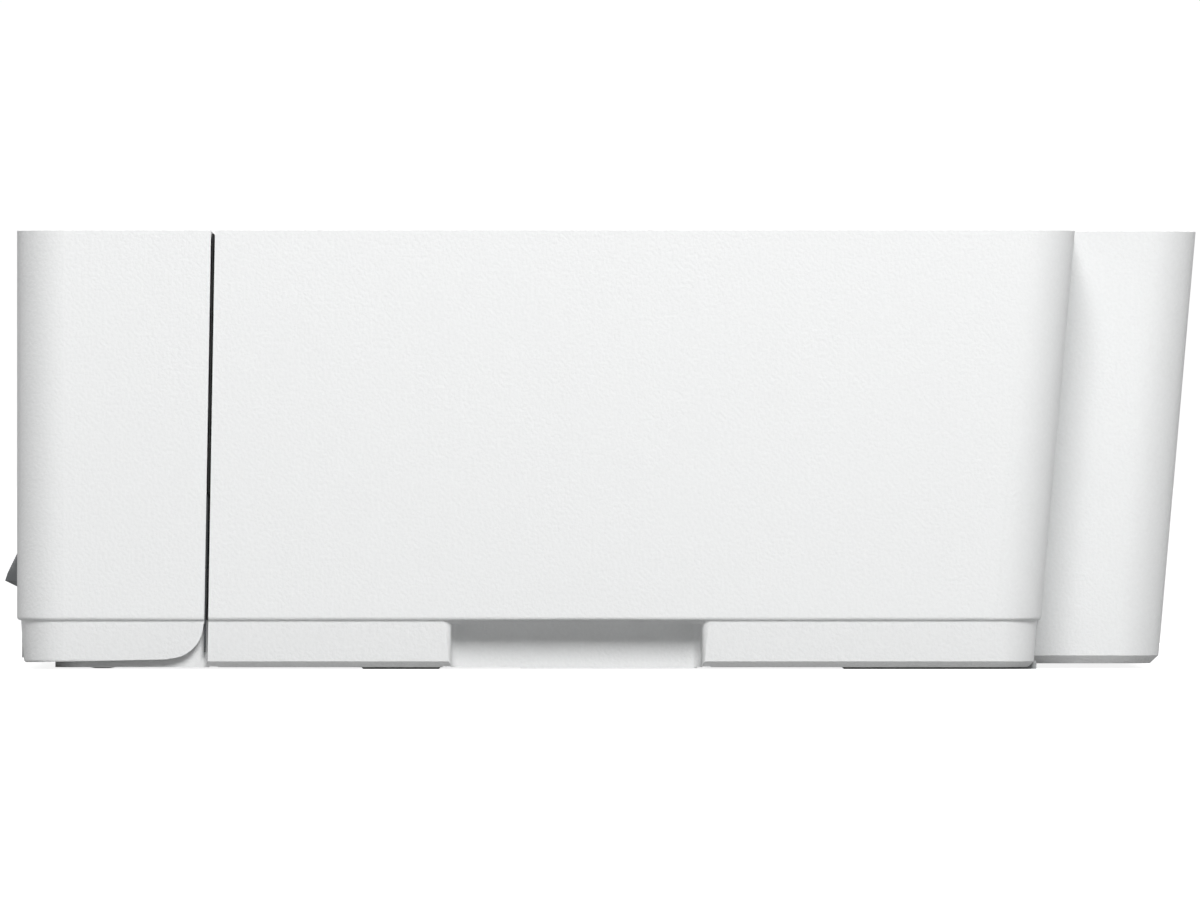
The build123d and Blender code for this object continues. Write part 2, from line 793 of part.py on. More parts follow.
# White base: floor, lower band with the side grips, tray rails and lap tongue
with BuildPart() as base_tray:
    band_form(0, floor_low, band_top)
    chamfer(base_tray.edges().group_by(Axis.Z)[0], length=underside_chamfer)
    band_form(wall, floor_top, band_top, mode=Mode.SUBTRACT)
    split(bisect_by=seam_plane(seam_gap / 2), keep=Keep.TOP)

    # Front part of the pan, inside the skirt
    pan_edge = band_edge(skirt_low) + wall + skirt_gap
    pan_half = half_width - pan_edge
    pan_front = front_y + pan_edge + pan_setback
    pan_radius = corner_radius - pan_edge
    pan_rear = seam_y(0) + pan_overlap
    loft([plan(z, pan_front, pan_rear, pan_half, pan_radius) for z in (floor_low, band_top)],
         ruled=True)
    loft([plan(z, pan_front + wall, pan_rear + corner_radius, pan_half - wall, pan_radius)
          for z in (floor_top, band_top)], ruled=True, mode=Mode.SUBTRACT)
    for side in SIDES:
        web_y = seam_y(0) + seam_gap
        block(outward(side, pan_half - wall, half_width - band_inset - wall),
              (web_y, web_y + wall), (floor_low, band_top))
    block((-opening_half, opening_half), (pan_front, pan_front + 2 * wall), (floor_top, band_top),
          mode=Mode.SUBTRACT)

    # Side grips: pockets for the fingers, open below and rounded at their upright edges
    grip_rear_y = grip_front_y + grip_length
    grip_wall_x = half_width - band_inset - grip_depth
    for side in SIDES:
        block(outward(side, grip_wall_x - wall, half_width - band_inset - wall),
              (grip_front_y - wall, grip_rear_y + wall), (floor_low, band_top))
        block(outward(side, grip_wall_x - wall, half_width - wall - fit_gap),
              (grip_front_y - wall, grip_rear_y + wall), (band_top, band_top + grip_ceiling))
        face_x = side * (half_width - band_inset)
        outside_x = face_x + side * 3 * grip_round
        beyond = 3 * grip_round
        with BuildSketch() as grip:
            with BuildLine():
                FilletPolyline((side * grip_wall_x, grip_front_y), (face_x, grip_front_y),
                               (face_x, grip_front_y - beyond), (outside_x, grip_front_y - beyond),
                               (outside_x, grip_rear_y + beyond), (face_x, grip_rear_y + beyond),
                               (face_x, grip_rear_y), (side * grip_wall_x, grip_rear_y),
                               radius=grip_round, close=True)
            make_face()
        extrude(grip.sketch, amount=band_top, mode=Mode.SUBTRACT)
        pad_front = grip_front_y + grip_pad_front
        block(outward(side, foot_x - foot_width / 2, grip_wall_x),
              (pad_front, pad_front + grip_pad_length), (grip_pad_low, floor_low))

    # Seats of the rear feet, sunk into the underside with the floor raised above them
    rear_foot_rear = shell_rear(band_top) - band_inset
    rear_foot_front = rear_foot_rear - rear_foot_length
    rear_foot_outer = foot_x + foot_width / 2
    rear_foot_inner = rear_foot_outer - rear_foot_width
    seat_z = (floor_low, rear_foot_height + floor_thickness)
    for side in SIDES:
        block(outward(side, rear_foot_inner - wall, rear_foot_outer + wall),
              (rear_foot_front - wall, rear_foot_rear - 2 * wall), seat_z)
        seat_x = outward(side, rear_foot_inner, rear_foot_outer)
        block(seat_x, (rear_foot_front, rear_foot_rear - wall), seat_z)
        block(seat_x, (rear_foot_front, shell_rear_y), (0, rear_foot_height), mode=Mode.SUBTRACT)

    add(tongue.part)

    # Way through to the rear cover, and the rails that the trays run on
    block((-opening_half, opening_half), (shell_rear(band_top) - paper_way_depth, shell_rear_y),
          (floor_top, tongue_top), mode=Mode.SUBTRACT)
    for side in SIDES:
        block(outward(side, rail_inner, rail_inner + tray_rail_thickness),
              (pan_front, tray_rear_y), (floor_low, tray_rail_top))
        block(outward(side, rail_inner - output_tray_flange + running_gap, rail_inner),
              (pan_front, front_y + output_tray_setback + output_tray_length),
              (output_ledge_low, output_ledge_low + output_ledge_thickness))
save(base_tray, "base_tray")

# White rear cover over the paper turn, closed against the leaning rear of the shell
with BuildPart() as rear_cover:
    cover_front = scanner_rear_y - 2 * corner_radius
    loft([plan(z, cover_front, cover_rear(z), rear_cover_half, corner_radius)
          for z in (rear_cover_low, body_height)], ruled=True)
    chamfer(rear_cover.edges().group_by(Axis.Z)[0], length=rear_cover_chamfer)
    cover_floor = rear_cover_low + wall
    loft([plan(z, cover_front, cover_rear(z) - wall, rear_cover_half - wall, corner_radius - wall)
          for z in (cover_floor, body_height - wall)], ruled=True, mode=Mode.SUBTRACT)
    housing_form(0, band_top, body_height + wall, mode=Mode.SUBTRACT)
    band_form(0, 0, band_top, mode=Mode.SUBTRACT)
save(rear_cover, "rear_cover")

# Black inner frame: cheeks that carry the scanner unit, and the flange that shows in the seam
with BuildPart() as inner_frame:
    ledge_top = scanner_low - seat_gap
    for side in SIDES:
        block(outward(side, cheek_inner, cheek_outer),
              (seam_y(0), cheek_rear_y), (tongue_top + fit_gap, bezel_top))
        block(outward(side, cheek_inner - ledge_width, cheek_inner), (seam_y(0), cheek_rear_y),
              (ledge_top - ledge_thickness, ledge_top))
    split(bisect_by=seam_plane(seam_flange / 2), keep=Keep.TOP)
    with BuildSketch(seam_plane(-seam_flange / 2)) as flange:
        flange_half = half_width - seam_flange_inset
        flange_low = body_height - housing_top
        beam_low = body_height - scanner_low
        with BuildLine():
            Polyline((-flange_half, seam_flange_inset), (flange_half, seam_flange_inset),
                     (flange_half, flange_low), (flange_half - seam_flange_depth, flange_low),
                     (flange_half - seam_flange_depth, beam_low),
                     (-flange_half + seam_flange_depth, beam_low),
                     (-flange_half + seam_flange_depth, flange_low),
                     (-flange_half, flange_low), close=True)
        make_face()
    extrude(flange.sketch, amount=seam_flange)
save(inner_frame, "inner_frame")

# Grey seam trim below the black flange, one strip on each side
with BuildPart() as seam_trim:
    trim_low = floor_top + wall
    for side in SIDES:
        side_profile([(seam_y(trim_low) - trim_thickness, trim_low),
                      (seam_y(trim_low), trim_low),
                      (seam_y(housing_top), housing_top),
                      (seam_y(housing_top) - trim_thickness, housing_top)],
                     outward(side, pan_half + fit_gap, half_width - band_inset - wall / 2))
save(seam_trim, "seam_trim")

# Slate output housing behind the front opening
with BuildPart() as output_housing:
    housing_front = front_y + wall
    hood_low = output_tray_top + running_gap
    hood_inner = opening_half - output_housing_wall
    with BuildSketch(Plane.XZ.offset(-housing_front)) as hood:
        with Locations((0, hood_low)):
            Rectangle(2 * opening_half, housing_top - hood_low, align=(Align.CENTER, Align.MIN))
            Rectangle(2 * hood_inner, opening_top - hood_low,
                      align=(Align.CENTER, Align.MIN), mode=Mode.SUBTRACT)
    extrude(hood.sketch, amount=housing_front - output_housing_rear_y)
    rim_low = tray_rail_top + fit_gap
    with BuildSketch(Plane.XZ.offset(-housing_front)) as rim:
        with Locations((0, rim_low)):
            Rectangle(2 * (opening_half + output_rim_overlap),
                      housing_top + output_rim_above - tray_rail_top,
                      align=(Align.CENTER, Align.MIN))
            Rectangle(2 * hood_inner, opening_top - tray_rail_top,
                      align=(Align.CENTER, Align.MIN), mode=Mode.SUBTRACT)
    extrude(rim.sketch, amount=-output_housing_wall)
save(output_housing, "output_housing")

# Light strip under the front edge of the opening
with BuildPart() as light_strip:
    strip_half = opening_half - light_strip_margin
    block((-strip_half, strip_half), (front_y + light_strip_recess, front_y + wall),
          (opening_top - light_strip_height, opening_top))
    fillet(light_strip.edges().filter_by(Axis.X).group_by(Axis.Z)[0].sort_by(Axis.Y)[0],
           radius=light_strip_height / 3)
save(light_strip, "light_strip")

# ---------------------------------------------------------------- feet

# Rubber front feet in front of the grips, and small domed glides under the front corners
with BuildPart() as front_feet:
    foot_rear = grip_front_y - front_foot_gap
    foot_front = foot_rear - front_foot_length
    for side in SIDES:
        side_profile([(foot_front + foot_thickness, 0), (foot_rear - foot_thickness, 0),
                      (foot_rear, foot_thickness), (foot_front, foot_thickness)],
                     outward(side, foot_x - foot_width / 2, foot_x + foot_width / 2))
    with Locations(*[(side * foot_x, glide_y, (glide_low + floor_low) / 2) for side in SIDES]):
        Cone(glide_radius / 2, glide_radius, floor_low - glide_low)
save(front_feet, "front_feet")

# Rubber rear feet, thicker and sunk into their seats
with BuildPart() as rear_feet:
    for side in SIDES:
        side_profile([(rear_foot_front + foot_thickness, 0), (rear_foot_rear, 0),
                      (rear_foot_rear, rear_foot_height), (rear_foot_front, rear_foot_height),
                      (rear_foot_front, foot_thickness)],
                     outward(side, rear_foot_inner, rear_foot_outer))
save(rear_feet, "rear_feet")

# ---------------------------------------------------------------- scanner unit

# Scanner base: a closed tub with the deck that carries the glass, and the hinge barrel behind it
with BuildPart() as scanner_base:
    tub_front_low = seam_y(scanner_low) + seam_flange + scanner_front_slope + running_gap
    tub_front_high = tub_front_low - scanner_front_slope
    tub_radius = corner_radius - wall - running_gap
    loft([plan(scanner_low, tub_front_low, scanner_rear_y, scanner_half, tub_radius),
          plan(scanner_top, tub_front_high, scanner_rear_y, scanner_half, tub_radius)], ruled=True)
    cavity_front = tub_front_low + scanner_side_wall / 2
    cavity_rear = scanner_rear_y - scanner_side_wall
    cavity_half = scanner_half - scanner_side_wall
    glass_low = scanner_top - glass_thickness
    deck_low = glass_low - deck_thickness
    block((-cavity_half, cavity_half), (cavity_front, cavity_rear),
          (scanner_low + scanner_floor, deck_low), mode=Mode.SUBTRACT)
    block((-window_length / 2, window_length / 2), (window_front, window_rear),
          (deck_low, scanner_top), mode=Mode.SUBTRACT)
    glass_half = window_length / 2 + glass_lip
    block((-glass_half - fit_gap, glass_half + fit_gap),
          (window_front - glass_lip - fit_gap, window_rear + glass_lip + fit_gap),
          (glass_low, scanner_top), mode=Mode.SUBTRACT)
    # Hinge barrel with its two end pins, on a web that rises behind the lid
    web_front = lid_rear_y + lid_pivot_below_top + running_gap
    web_root = scanner_rear_y - scanner_side_wall / 2
    web_low = scanner_low + barrel_web_rise
    barrel_rear = scanner_pivot_y + scanner_barrel_radius
    side_profile([(web_root, web_low), (web_front, web_low),
                  (barrel_rear - barrel_web_taper, scanner_pivot_z - barrel_web_drop),
                  (barrel_rear, scanner_pivot_z),
                  (scanner_pivot_y - scanner_barrel_radius, scanner_pivot_z),
                  (web_front, scanner_top), (web_root, scanner_top)],
                 (-scanner_barrel_half, scanner_barrel_half))
    rod_along_x(scanner_barrel_radius, (-scanner_barrel_half, scanner_barrel_half),
                scanner_pivot_y, scanner_pivot_z)
    pin_half = scanner_barrel_half + running_gap + scanner_boss_width
    rod_along_x(scanner_pin_radius, (-pin_half, pin_half), scanner_pivot_y, scanner_pivot_z)
save(scanner_base, "scanner_base")

# Bezel round the glass, with the ears of the lid hinge
with BuildPart() as scanner_bezel:
    with BuildSketch(Plane.XY.offset(scanner_top)) as bezel_outline:
        with Locations((0, (tub_front_high + scanner_rear_y) / 2)):
            RectangleRounded(2 * scanner_half, scanner_rear_y - tub_front_high, tub_radius)
        with Locations((0, window_y)):
            Rectangle(window_length, window_depth, mode=Mode.SUBTRACT)
    extrude(bezel_outline.sketch, amount=bezel_thickness)
    for side in SIDES:
        ear_x = outward(side, lid_hinge_x - lid_ear_width / 2, lid_hinge_x + lid_ear_width / 2)
        with BuildSketch(Plane.YZ.offset(ear_x[0])) as ear:
            with Locations((lid_rear_y, lid_pivot_z)):
                Circle(lid_ear_radius)
            with Locations((lid_rear_y, bezel_top)):
                Rectangle(2 * lid_ear_radius, lid_pivot_z - bezel_top,
                          align=(Align.CENTER, Align.MIN))
            with Locations((lid_rear_y, lid_pivot_z)):
                Circle(lid_pin_radius + pin_clearance, mode=Mode.SUBTRACT)
        extrude(ear.sketch, amount=lid_ear_width)
save(scanner_bezel, "scanner_bezel")

with BuildPart() as scanner_glass:
    block((-glass_half, glass_half), (window_front - glass_lip, window_rear + glass_lip),
          (glass_low, scanner_top))
save(scanner_glass, "scanner_glass")

# Rod that the scan bar runs along, held in the tub's end walls
with BuildPart() as scan_rod:
    scan_rod_z = scanner_low + scanner_floor + scan_rod_gap + scan_rod_radius
    rod_along_x(scan_rod_radius, (-cavity_half, cavity_half), window_y, scan_rod_z)
save(scan_rod, "scan_rod")

# Scan bar: a long trough with the light guide on top, riding on the rod by a shoe
with BuildPart() as scan_bar:
    bar_top = deck_low - running_gap
    bar_x = around(scan_bar_home_x, scan_bar_width / 2)
    block(bar_x, (window_front, window_rear), (bar_top - scan_bar_height, bar_top))
    block(around(scan_bar_home_x, light_guide_width / 2),
          (window_front + light_guide_margin, window_rear - light_guide_margin),
          (bar_top - light_guide_depth, bar_top), mode=Mode.SUBTRACT)
    block(bar_x, around(window_y, shoe_half), (scan_rod_z - shoe_lap, bar_top - scan_bar_height))
    rod_along_x(scan_rod_radius + pin_clearance, bar_x, window_y, scan_rod_z, mode=Mode.SUBTRACT)
save(scan_bar, "scan_bar")

# ---------------------------------------------------------------- scanner lid

# Lid cover: a thin tray turned over, notched at the rear for the hinge ears
with BuildPart() as lid_cover:
    lid_front = seam_y(body_height) + seam_flange / 2 + lid_front_gap
    lid_radius = corner_radius - wall - running_gap
    loft([plan(z, lid_front, lid_rear_y - seat_gap, lid_half, lid_radius)
          for z in (lid_low, body_height)], ruled=True)
    loft([plan(z, lid_front + lid_wall, lid_rear_y - lid_rear_wall, lid_half - lid_wall,
               lid_radius - lid_wall)
          for z in (lid_low, body_height - lid_wall)], ruled=True, mode=Mode.SUBTRACT)
    # Ribs that stiffen the lid and hold its pad
    pad_top = lid_low + pad_thickness - lid_gap / 2
    inside_half = lid_half - lid_wall
    inside_y = (lid_front + lid_wall, lid_rear_y - lid_rear_wall)
    rib_z = (pad_top, body_height - lid_wall)
    for row in range(lid_rib_rows):
        y = window_y + (row - (lid_rib_rows - 1) / 2) * lid_rib_spacing
        block((-inside_half, inside_half), around(y, lid_rib_thickness / 2), rib_z)
    for column in range(lid_rib_columns):
        x = (column - (lid_rib_columns - 1) / 2) * 2 * lid_hinge_x / (lid_rib_columns - 1)
        block(around(x, lid_rib_thickness / 2), inside_y, rib_z)
    for side in SIDES:
        notch_x = outward(side, lid_hinge_x - lid_ear_width / 2 - running_gap,
                          lid_hinge_x + lid_ear_width / 2 + running_gap)
        block(notch_x, (lid_rear_y - lid_notch_depth, lid_rear_y), (lid_low, body_height),
              mode=Mode.SUBTRACT)
        rod_along_x(lid_pin_radius, (notch_x[0] - lid_pin_hold, notch_x[1] + lid_pin_hold),
                    lid_rear_y, lid_pivot_z)
save(lid_cover, "lid_cover")

# White foam pad that presses on the paper
with BuildPart() as lid_pad:
    pad_half = window_length / 2 + pad_margin
    block((-pad_half, pad_half), (window_front - pad_margin, window_rear + pad_margin),
          (pad_top - pad_thickness, pad_top))
save(lid_pad, "lid_pad")

# ---------------------------------------------------------------- paper tray

with BuildPart() as paper_tray:
    tray_y = (front_y + tray_edge, tray_rear_y)
    block((-tray_half, tray_half), tray_y, (tray_floor_low, tray_floor_top))
    for side in SIDES:
        block(outward(side, tray_half - tray_wall, tray_half), tray_y, (tray_floor_low, tray_top))
    # Face, with the same step and draft as the skirt beside it
    face_rear = front_y + band_inset + tray_face_thickness
    face_top = tray_top + fit_gap
    side_profile([(front_y, face_top), (front_y, band_top + step_round),
                  (front_y + step_round, band_top), (front_y + band_inset, band_top),
                  (front_y + band_edge(skirt_low), skirt_low), (face_rear, skirt_low),
                  (face_rear, face_top)], (-tray_half, tray_half))
    # Ribs that carry the paper, broken where the guide bars cross
    rib_pairs = int((tray_half - tray_wall - tray_rib_start) / tray_rib_spacing) + 1
    for pair in range(rib_pairs):
        x = tray_rib_start + pair * tray_rib_spacing
        for side in SIDES:
            for rib_y in ((face_rear, guide_front_y - rib_break),
                          (guide_front_y + rib_break, pinion_y - rack_break),
                          (pinion_y + rack_break, tray_rear_y)):
                block(around(side * x, tray_rib_thickness / 2), rib_y, (tray_floor_top, rib_top))
    rod_along_z(pinion_pin_radius, 0, pinion_y, (tray_floor_top, rib_top))
save(paper_tray, "paper_tray")

# Pinion of the width guides, between the two racks
with BuildPart() as guide_pinion:
    # A gap between teeth faces each rack
    tooth_points = gear_outline(guide_teeth, guide_module, 180 / guide_teeth)
    with BuildSketch(Plane.XY.offset(bar_low)) as pinion_outline:
        with BuildLine():
            Polyline(*[(x, pinion_y + y) for x, y in tooth_points], close=True)
        make_face()
    extrude(pinion_outline.sketch, amount=guide_bar_height)
    rod_along_z(pinion_pin_radius + pin_clearance, 0, pinion_y,
                (bar_low, bar_low + guide_bar_height), mode=Mode.SUBTRACT)
save(guide_pinion, "guide_pinion")

# Width guides: an upright fence on two bars, one bar toothed as a rack
fence_low = rib_top + seat_gap
fence_z = (fence_low, tray_top - guide_below_tray)
bar_z = (bar_low, bar_low + guide_bar_height)
rack_middle = guide_teeth * guide_module / 2


def width_guide(side):
    """Fence and bars of one width guide; the rack of side +1 runs behind the pinion."""
    rack_near = pinion_y + side * rack_middle
    pitch = pi * guide_module
    teeth = int(sheet_half_width / pitch) + 1
    slope = guide_module * tan(radians(pressure_angle))
    half_top = pitch / 4 - backlash / 2 - addendum * slope
    half_root = pitch / 4 - backlash / 2 + dedendum * slope
    # Rack bar, its teeth towards the pinion and one of them on the middle line
    tip_y = rack_near - side * addendum * guide_module
    root_y = rack_near + side * dedendum * guide_module
    back_y = root_y + side * rack_width
    rack_end = -side * 1.5 * pitch
    points = [(rack_end, root_y)]
    for number in range(-1, teeth):
        x = side * number * pitch
        points += [(x - side * half_root, root_y), (x - side * half_top, tip_y),
                   (x + side * half_top, tip_y), (x + side * half_root, root_y)]
    points += [(side * sheet_half_width, root_y), (side * sheet_half_width, back_y),
               (rack_end, back_y)]
    with BuildPart() as guide:
        with BuildSketch(Plane.XY.offset(bar_low)) as rack:
            with BuildLine():
                Polyline(*points, close=True)
            make_face()
        extrude(rack.sketch, amount=guide_bar_height)
        # Fence with its riser over the rack bar, and a short steadying bar further forward
        fence_x = outward(side, sheet_half_width, sheet_half_width + guide_thickness)
        block(fence_x, (guide_front_y, guide_front_y + guide_length), fence_z)
        block(fence_x, sorted((root_y, back_y)), (bar_low, fence_low))
        block(outward(side, sheet_half_width - steady_bar_length,
                      sheet_half_width + guide_thickness),
              around(guide_front_y, steady_bar_width / 2), bar_z)
        block(fence_x, (guide_front_y, guide_front_y + steady_bar_width / 2), (bar_low, fence_low))
    return guide


left_width_guide = width_guide(-1)
save(left_width_guide, "left_width_guide")
right_width_guide = width_guide(1)
save(right_width_guide, "right_width_guide")

# Length guide: a low fence across the front of the paper, on a bar along the middle
with BuildPart() as length_guide:
    length_front = face_rear + running_gap
    length_y = (length_front, length_front + guide_thickness)
    length_bar_x = (-length_guide_bar_half, length_guide_bar_half)
    block((-length_guide_half, length_guide_half), length_y, fence_z)
    block(length_bar_x, (length_front, length_front + length_guide_bar_length), bar_z)
    block(length_bar_x, length_y, (bar_low, fence_low))
save(length_guide, "length_guide")

# ---------------------------------------------------------------- output tray

# Slate output tray: a flat channel that runs on the base's ledges and holds the extender
with BuildPart() as output_tray:
    plate_low = output_tray_top - output_tray_plate
    channel_half = opening_half - output_tray_flange - channel_gap
    channel_inner = channel_half - channel_side
    channel_y = around(front_y + output_tray_setback + output_tray_length / 2,
                       output_tray_length / 2)
    block((-channel_half, channel_half), channel_y, (plate_low, output_tray_top))
    for side in SIDES:
        block(outward(side, channel_inner, channel_half), channel_y, (output_tray_low, plate_low))
        block(outward(side, channel_half - channel_return, channel_half), channel_y,
              (output_tray_low, output_tray_low + channel_return_thickness))
        block(outward(side, channel_half, tray_half), channel_y,
              (output_ledge_low + output_ledge_thickness + seat_gap, plate_low))
save(output_tray, "output_tray")


def lip_section(x, reach):
    """Wedge outline of the lip at x, standing out by reach."""
    with BuildSketch(Plane.YZ.offset(x)) as section:
        with BuildLine():
            Polyline((front_y + lip_root, lip_low), (front_y, lip_low),
                     (front_y - reach, lip_low + lip_nose * lip_height),
                     (front_y - lip_ridge_reach * reach, lip_low + lip_ridge * lip_height),
                     (front_y, lip_high), (front_y + lip_root, lip_high), close=True)
        make_face()
    return section.sketch


# Extender: a thin plate in the tray's channel, with the wedge-shaped lip across its front
with BuildPart() as tray_extender:
    extender_low = output_tray_low + channel_return_thickness + seat_gap
    extender_half = channel_inner - running_gap
    block((-extender_half, extender_half), (front_y, front_y + extender_length),
          (extender_low, extender_low + extender_thickness))
    loft([lip_section(-lip_half, lip_reach), lip_section(lip_half, lip_reach)], ruled=True)
    for side in SIDES:
        loft([lip_section(side * lip_half, lip_reach),
              lip_section(side * lip_end_half, lip_end_reach)], ruled=True)
save(tray_extender, "tray_extender")

# ---------------------------------------------------------------- chassis

# The idler gear sits above the line between the two rollers, in mesh with both
feed_centre = (feed_y, feed_z)
eject_centre = (eject_y, eject_z)
motor_centre = (motor_y, motor_z)
idler_centre = crossing(feed_centre, (feed_teeth + idler_teeth) * gear_module / 2,
                        eject_centre, (idler_teeth + eject_teeth) * gear_module / 2)

# Folded steel chassis: two side plates, the wall behind the carriage and the deck behind it
with BuildPart() as chassis:
    back_rear = chassis_back_y + plate_thickness
    back_y = (chassis_back_y, back_rear)
    plate_span = (side_inner - stud_end, side_outer + stud_end)
    for side in SIDES:
        side_profile([(chassis_front_y, floor_top), (feed_y + chassis_foot_depth, floor_top),
                      (back_rear, chassis_deck_z), (back_rear, chassis_side_top),
                      (chassis_front_y + chassis_nose, chassis_side_top),
                      (chassis_front_y, rod_z - chassis_nose)],
                     outward(side, side_inner, side_outer))
        block(outward(side, side_inner - chassis_foot_width, side_inner),
              (chassis_front_y, chassis_front_y + chassis_foot_length),
              (floor_top, floor_top + plate_thickness))
        rod_along_x(rod_radius + pin_clearance, outward(side, *plate_span), rod_y, rod_z,
                    mode=Mode.SUBTRACT)
        for y, z in (feed_centre, eject_centre):
            rod_along_x(shaft_radius + pin_clearance, outward(side, *plate_span), y, z,
                        mode=Mode.SUBTRACT)
    block((-side_outer, side_outer), back_y, (chassis_deck_z, chassis_back_top))
    block((-side_outer, side_outer), (chassis_back_y, deck_rear_y), (chassis_deck_z, deck_top))
    flange_half_x = pulley_x - motor_radius - flange_motor_gap
    block((-flange_half_x, flange_half_x), (back_rear, back_rear + chassis_flange),
          (chassis_back_top - plate_thickness, chassis_back_top))
    rod_along_y(motor_hole_radius, -pulley_x, back_y, belt_z, mode=Mode.SUBTRACT)
    rod_along_x(motor_hole_radius, outward(-1, *plate_span), *motor_centre, mode=Mode.SUBTRACT)
    # Studs for the idler pulley and the idler gear
    rod_along_y(stud_radius, pulley_x,
                (belt_y - belt_width / 2 - pulley_side - stud_end, chassis_back_y), belt_z)
    rod_along_x(stud_radius, (gear_x - gear_width / 2 - stud_end, -side_outer), *idler_centre)
    # Tabs that hold the pinch rollers' axle
    for side in SIDES:
        tab_x = outward(side, axle_tab_x, axle_tab_x + plate_thickness)
        block(tab_x, (feed_y - pinch_axle_radius - tab_margin, chassis_back_y),
              (pinch_z - pinch_axle_radius - tab_margin, deck_top))
        rod_along_x(pinch_axle_radius + pin_clearance, tab_x, feed_y, pinch_z, mode=Mode.SUBTRACT)
    # Front rail with the tabs that hold the star wheels' axle
    rail_top = front_rail_low + front_rail_height
    block((-side_outer, side_outer), (chassis_front_y, chassis_front_y + plate_thickness),
          (front_rail_low, rail_top))
    for side in SIDES:
        tab_x = outward(side, axle_tab_x, axle_tab_x + plate_thickness)
        block(tab_x, (chassis_front_y, eject_y + star_axle_radius + tab_margin),
              (star_z - star_axle_radius - tab_margin, rail_top))
        rod_along_x(star_axle_radius + pin_clearance, tab_x, eject_y, star_z, mode=Mode.SUBTRACT)
    # Standoffs for the main board
    board_x = (board_left, chassis_x - board_right_gap)
    board_y = (chassis_back_y + board_behind_back, deck_rear_y + board_beyond_deck)
    for x in (board_x[0] + standoff_inset, board_x[1] - standoff_inset):
        for y in (board_y[0] + standoff_inset, deck_rear_y - standoff_inset):
            rod_along_z(standoff_radius, x, y, (deck_top, board_z))
save(chassis, "chassis")

with BuildPart() as guide_rod:
    rod_half = side_outer + 2 * stud_end
    rod_along_x(rod_radius, (-rod_half, rod_half), rod_y, rod_z)
save(guide_rod, "guide_rod")

# ---------------------------------------------------------------- carriage

# Carriage: two open bays in front of the sleeve that slides on the rod
with BuildPart() as carriage:
    park = carriage_park_x
    body_x = around(park, carriage_half_width)
    body_rear = rod_y - rod_to_body
    side_profile([(carriage_front_y, carriage_low), (body_rear, carriage_low),
                  (body_rear, carriage_top), (carriage_front_y + carriage_nose_length, carriage_top),
                  (carriage_front_y, carriage_top - carriage_nose_drop)], body_x)
    bay_near = carriage_wall / 2
    bay_width = carriage_half_width - 1.5 * carriage_wall
    bay_middle = bay_near + bay_width / 2
    nozzle_y = (carriage_front_y + nozzle_front, carriage_front_y + nozzle_front + nozzle_length)
    for side in SIDES:
        middle = park + side * bay_middle
        block(around(middle, bay_width / 2),
              (carriage_front_y + carriage_wall, body_rear - carriage_wall),
              (carriage_low + carriage_wall, carriage_top), mode=Mode.SUBTRACT)
        # Slot that lets the nozzles reach the paper
        block(around(middle, nozzle_half), nozzle_y, (carriage_low, carriage_low + carriage_wall),
              mode=Mode.SUBTRACT)
    # Ears on the three bay walls for the pins of the cartridge latches
    latch_y = body_rear - latch_ear_depth / 2
    for wall_x in (body_x[0], park - carriage_wall / 2, body_x[1] - carriage_wall):
        ear_x = (wall_x, wall_x + carriage_wall)
        block(ear_x, (body_rear - latch_ear_depth, body_rear),
              (carriage_top - cartridge_top_gap, latch_pivot_z + latch_ear_depth / 2))
        rod_along_x(latch_pin_radius + pin_clearance, ear_x, latch_y, latch_pivot_z,
                    mode=Mode.SUBTRACT)
    # Sleeve round the rod, the belt grip behind it and the fork round the encoder strip
    rod_along_x(rod_radius + sleeve_wall, body_x, rod_y, rod_z)
    block(body_x, (body_rear, rod_y), around(rod_z, sleeve_web_half))
    belt_low = belt_z - pulley_radius - belt_thickness
    block(around(park, belt_grip_half), (rod_y + rod_radius, belt_y + belt_width / 2 + pulley_side),
          (belt_low - belt_grip_height, belt_low - fit_gap))
    fork_y = rod_y + strip_y_offset
    for side in SIDES:
        block(around(park, fork_half),
              around(fork_y + side * fork_spacing / 2, fork_thickness / 2),
              (rod_z + rod_radius + sleeve_wall / 2, carriage_top + fork_rise))
    rod_along_x(rod_radius + pin_clearance, body_x, rod_y, rod_z, mode=Mode.SUBTRACT)
save(carriage, "carriage")


def cartridge(side):
    """Ink cartridge seated in one bay, with its nozzle plate below."""
    middle = carriage_park_x + side * bay_middle
    front = carriage_front_y + carriage_wall + cartridge_gap
    rear = body_rear - carriage_wall - cartridge_gap
    low = carriage_low + carriage_wall
    high = carriage_top - cartridge_top_gap
    with BuildPart() as piece:
        side_profile([(front, low), (rear, low), (rear, high), (front + cartridge_nose_length, high),
                      (front, carriage_top - carriage_nose_drop + carriage_wall)],
                     around(middle, bay_width / 2 - cartridge_gap))
        fillet(piece.edges().filter_by(Axis.X).sort_by(Axis.Z)[-2:], radius=cartridge_round)
        block(around(middle, nozzle_half - nozzle_edge),
              (nozzle_y[0] + nozzle_edge, nozzle_y[1] - nozzle_edge), (low - nozzle_drop, low))
    return piece


black_cartridge = cartridge(1)
save(black_cartridge, "black_cartridge")
colour_cartridge = cartridge(-1)
save(colour_cartridge, "colour_cartridge")


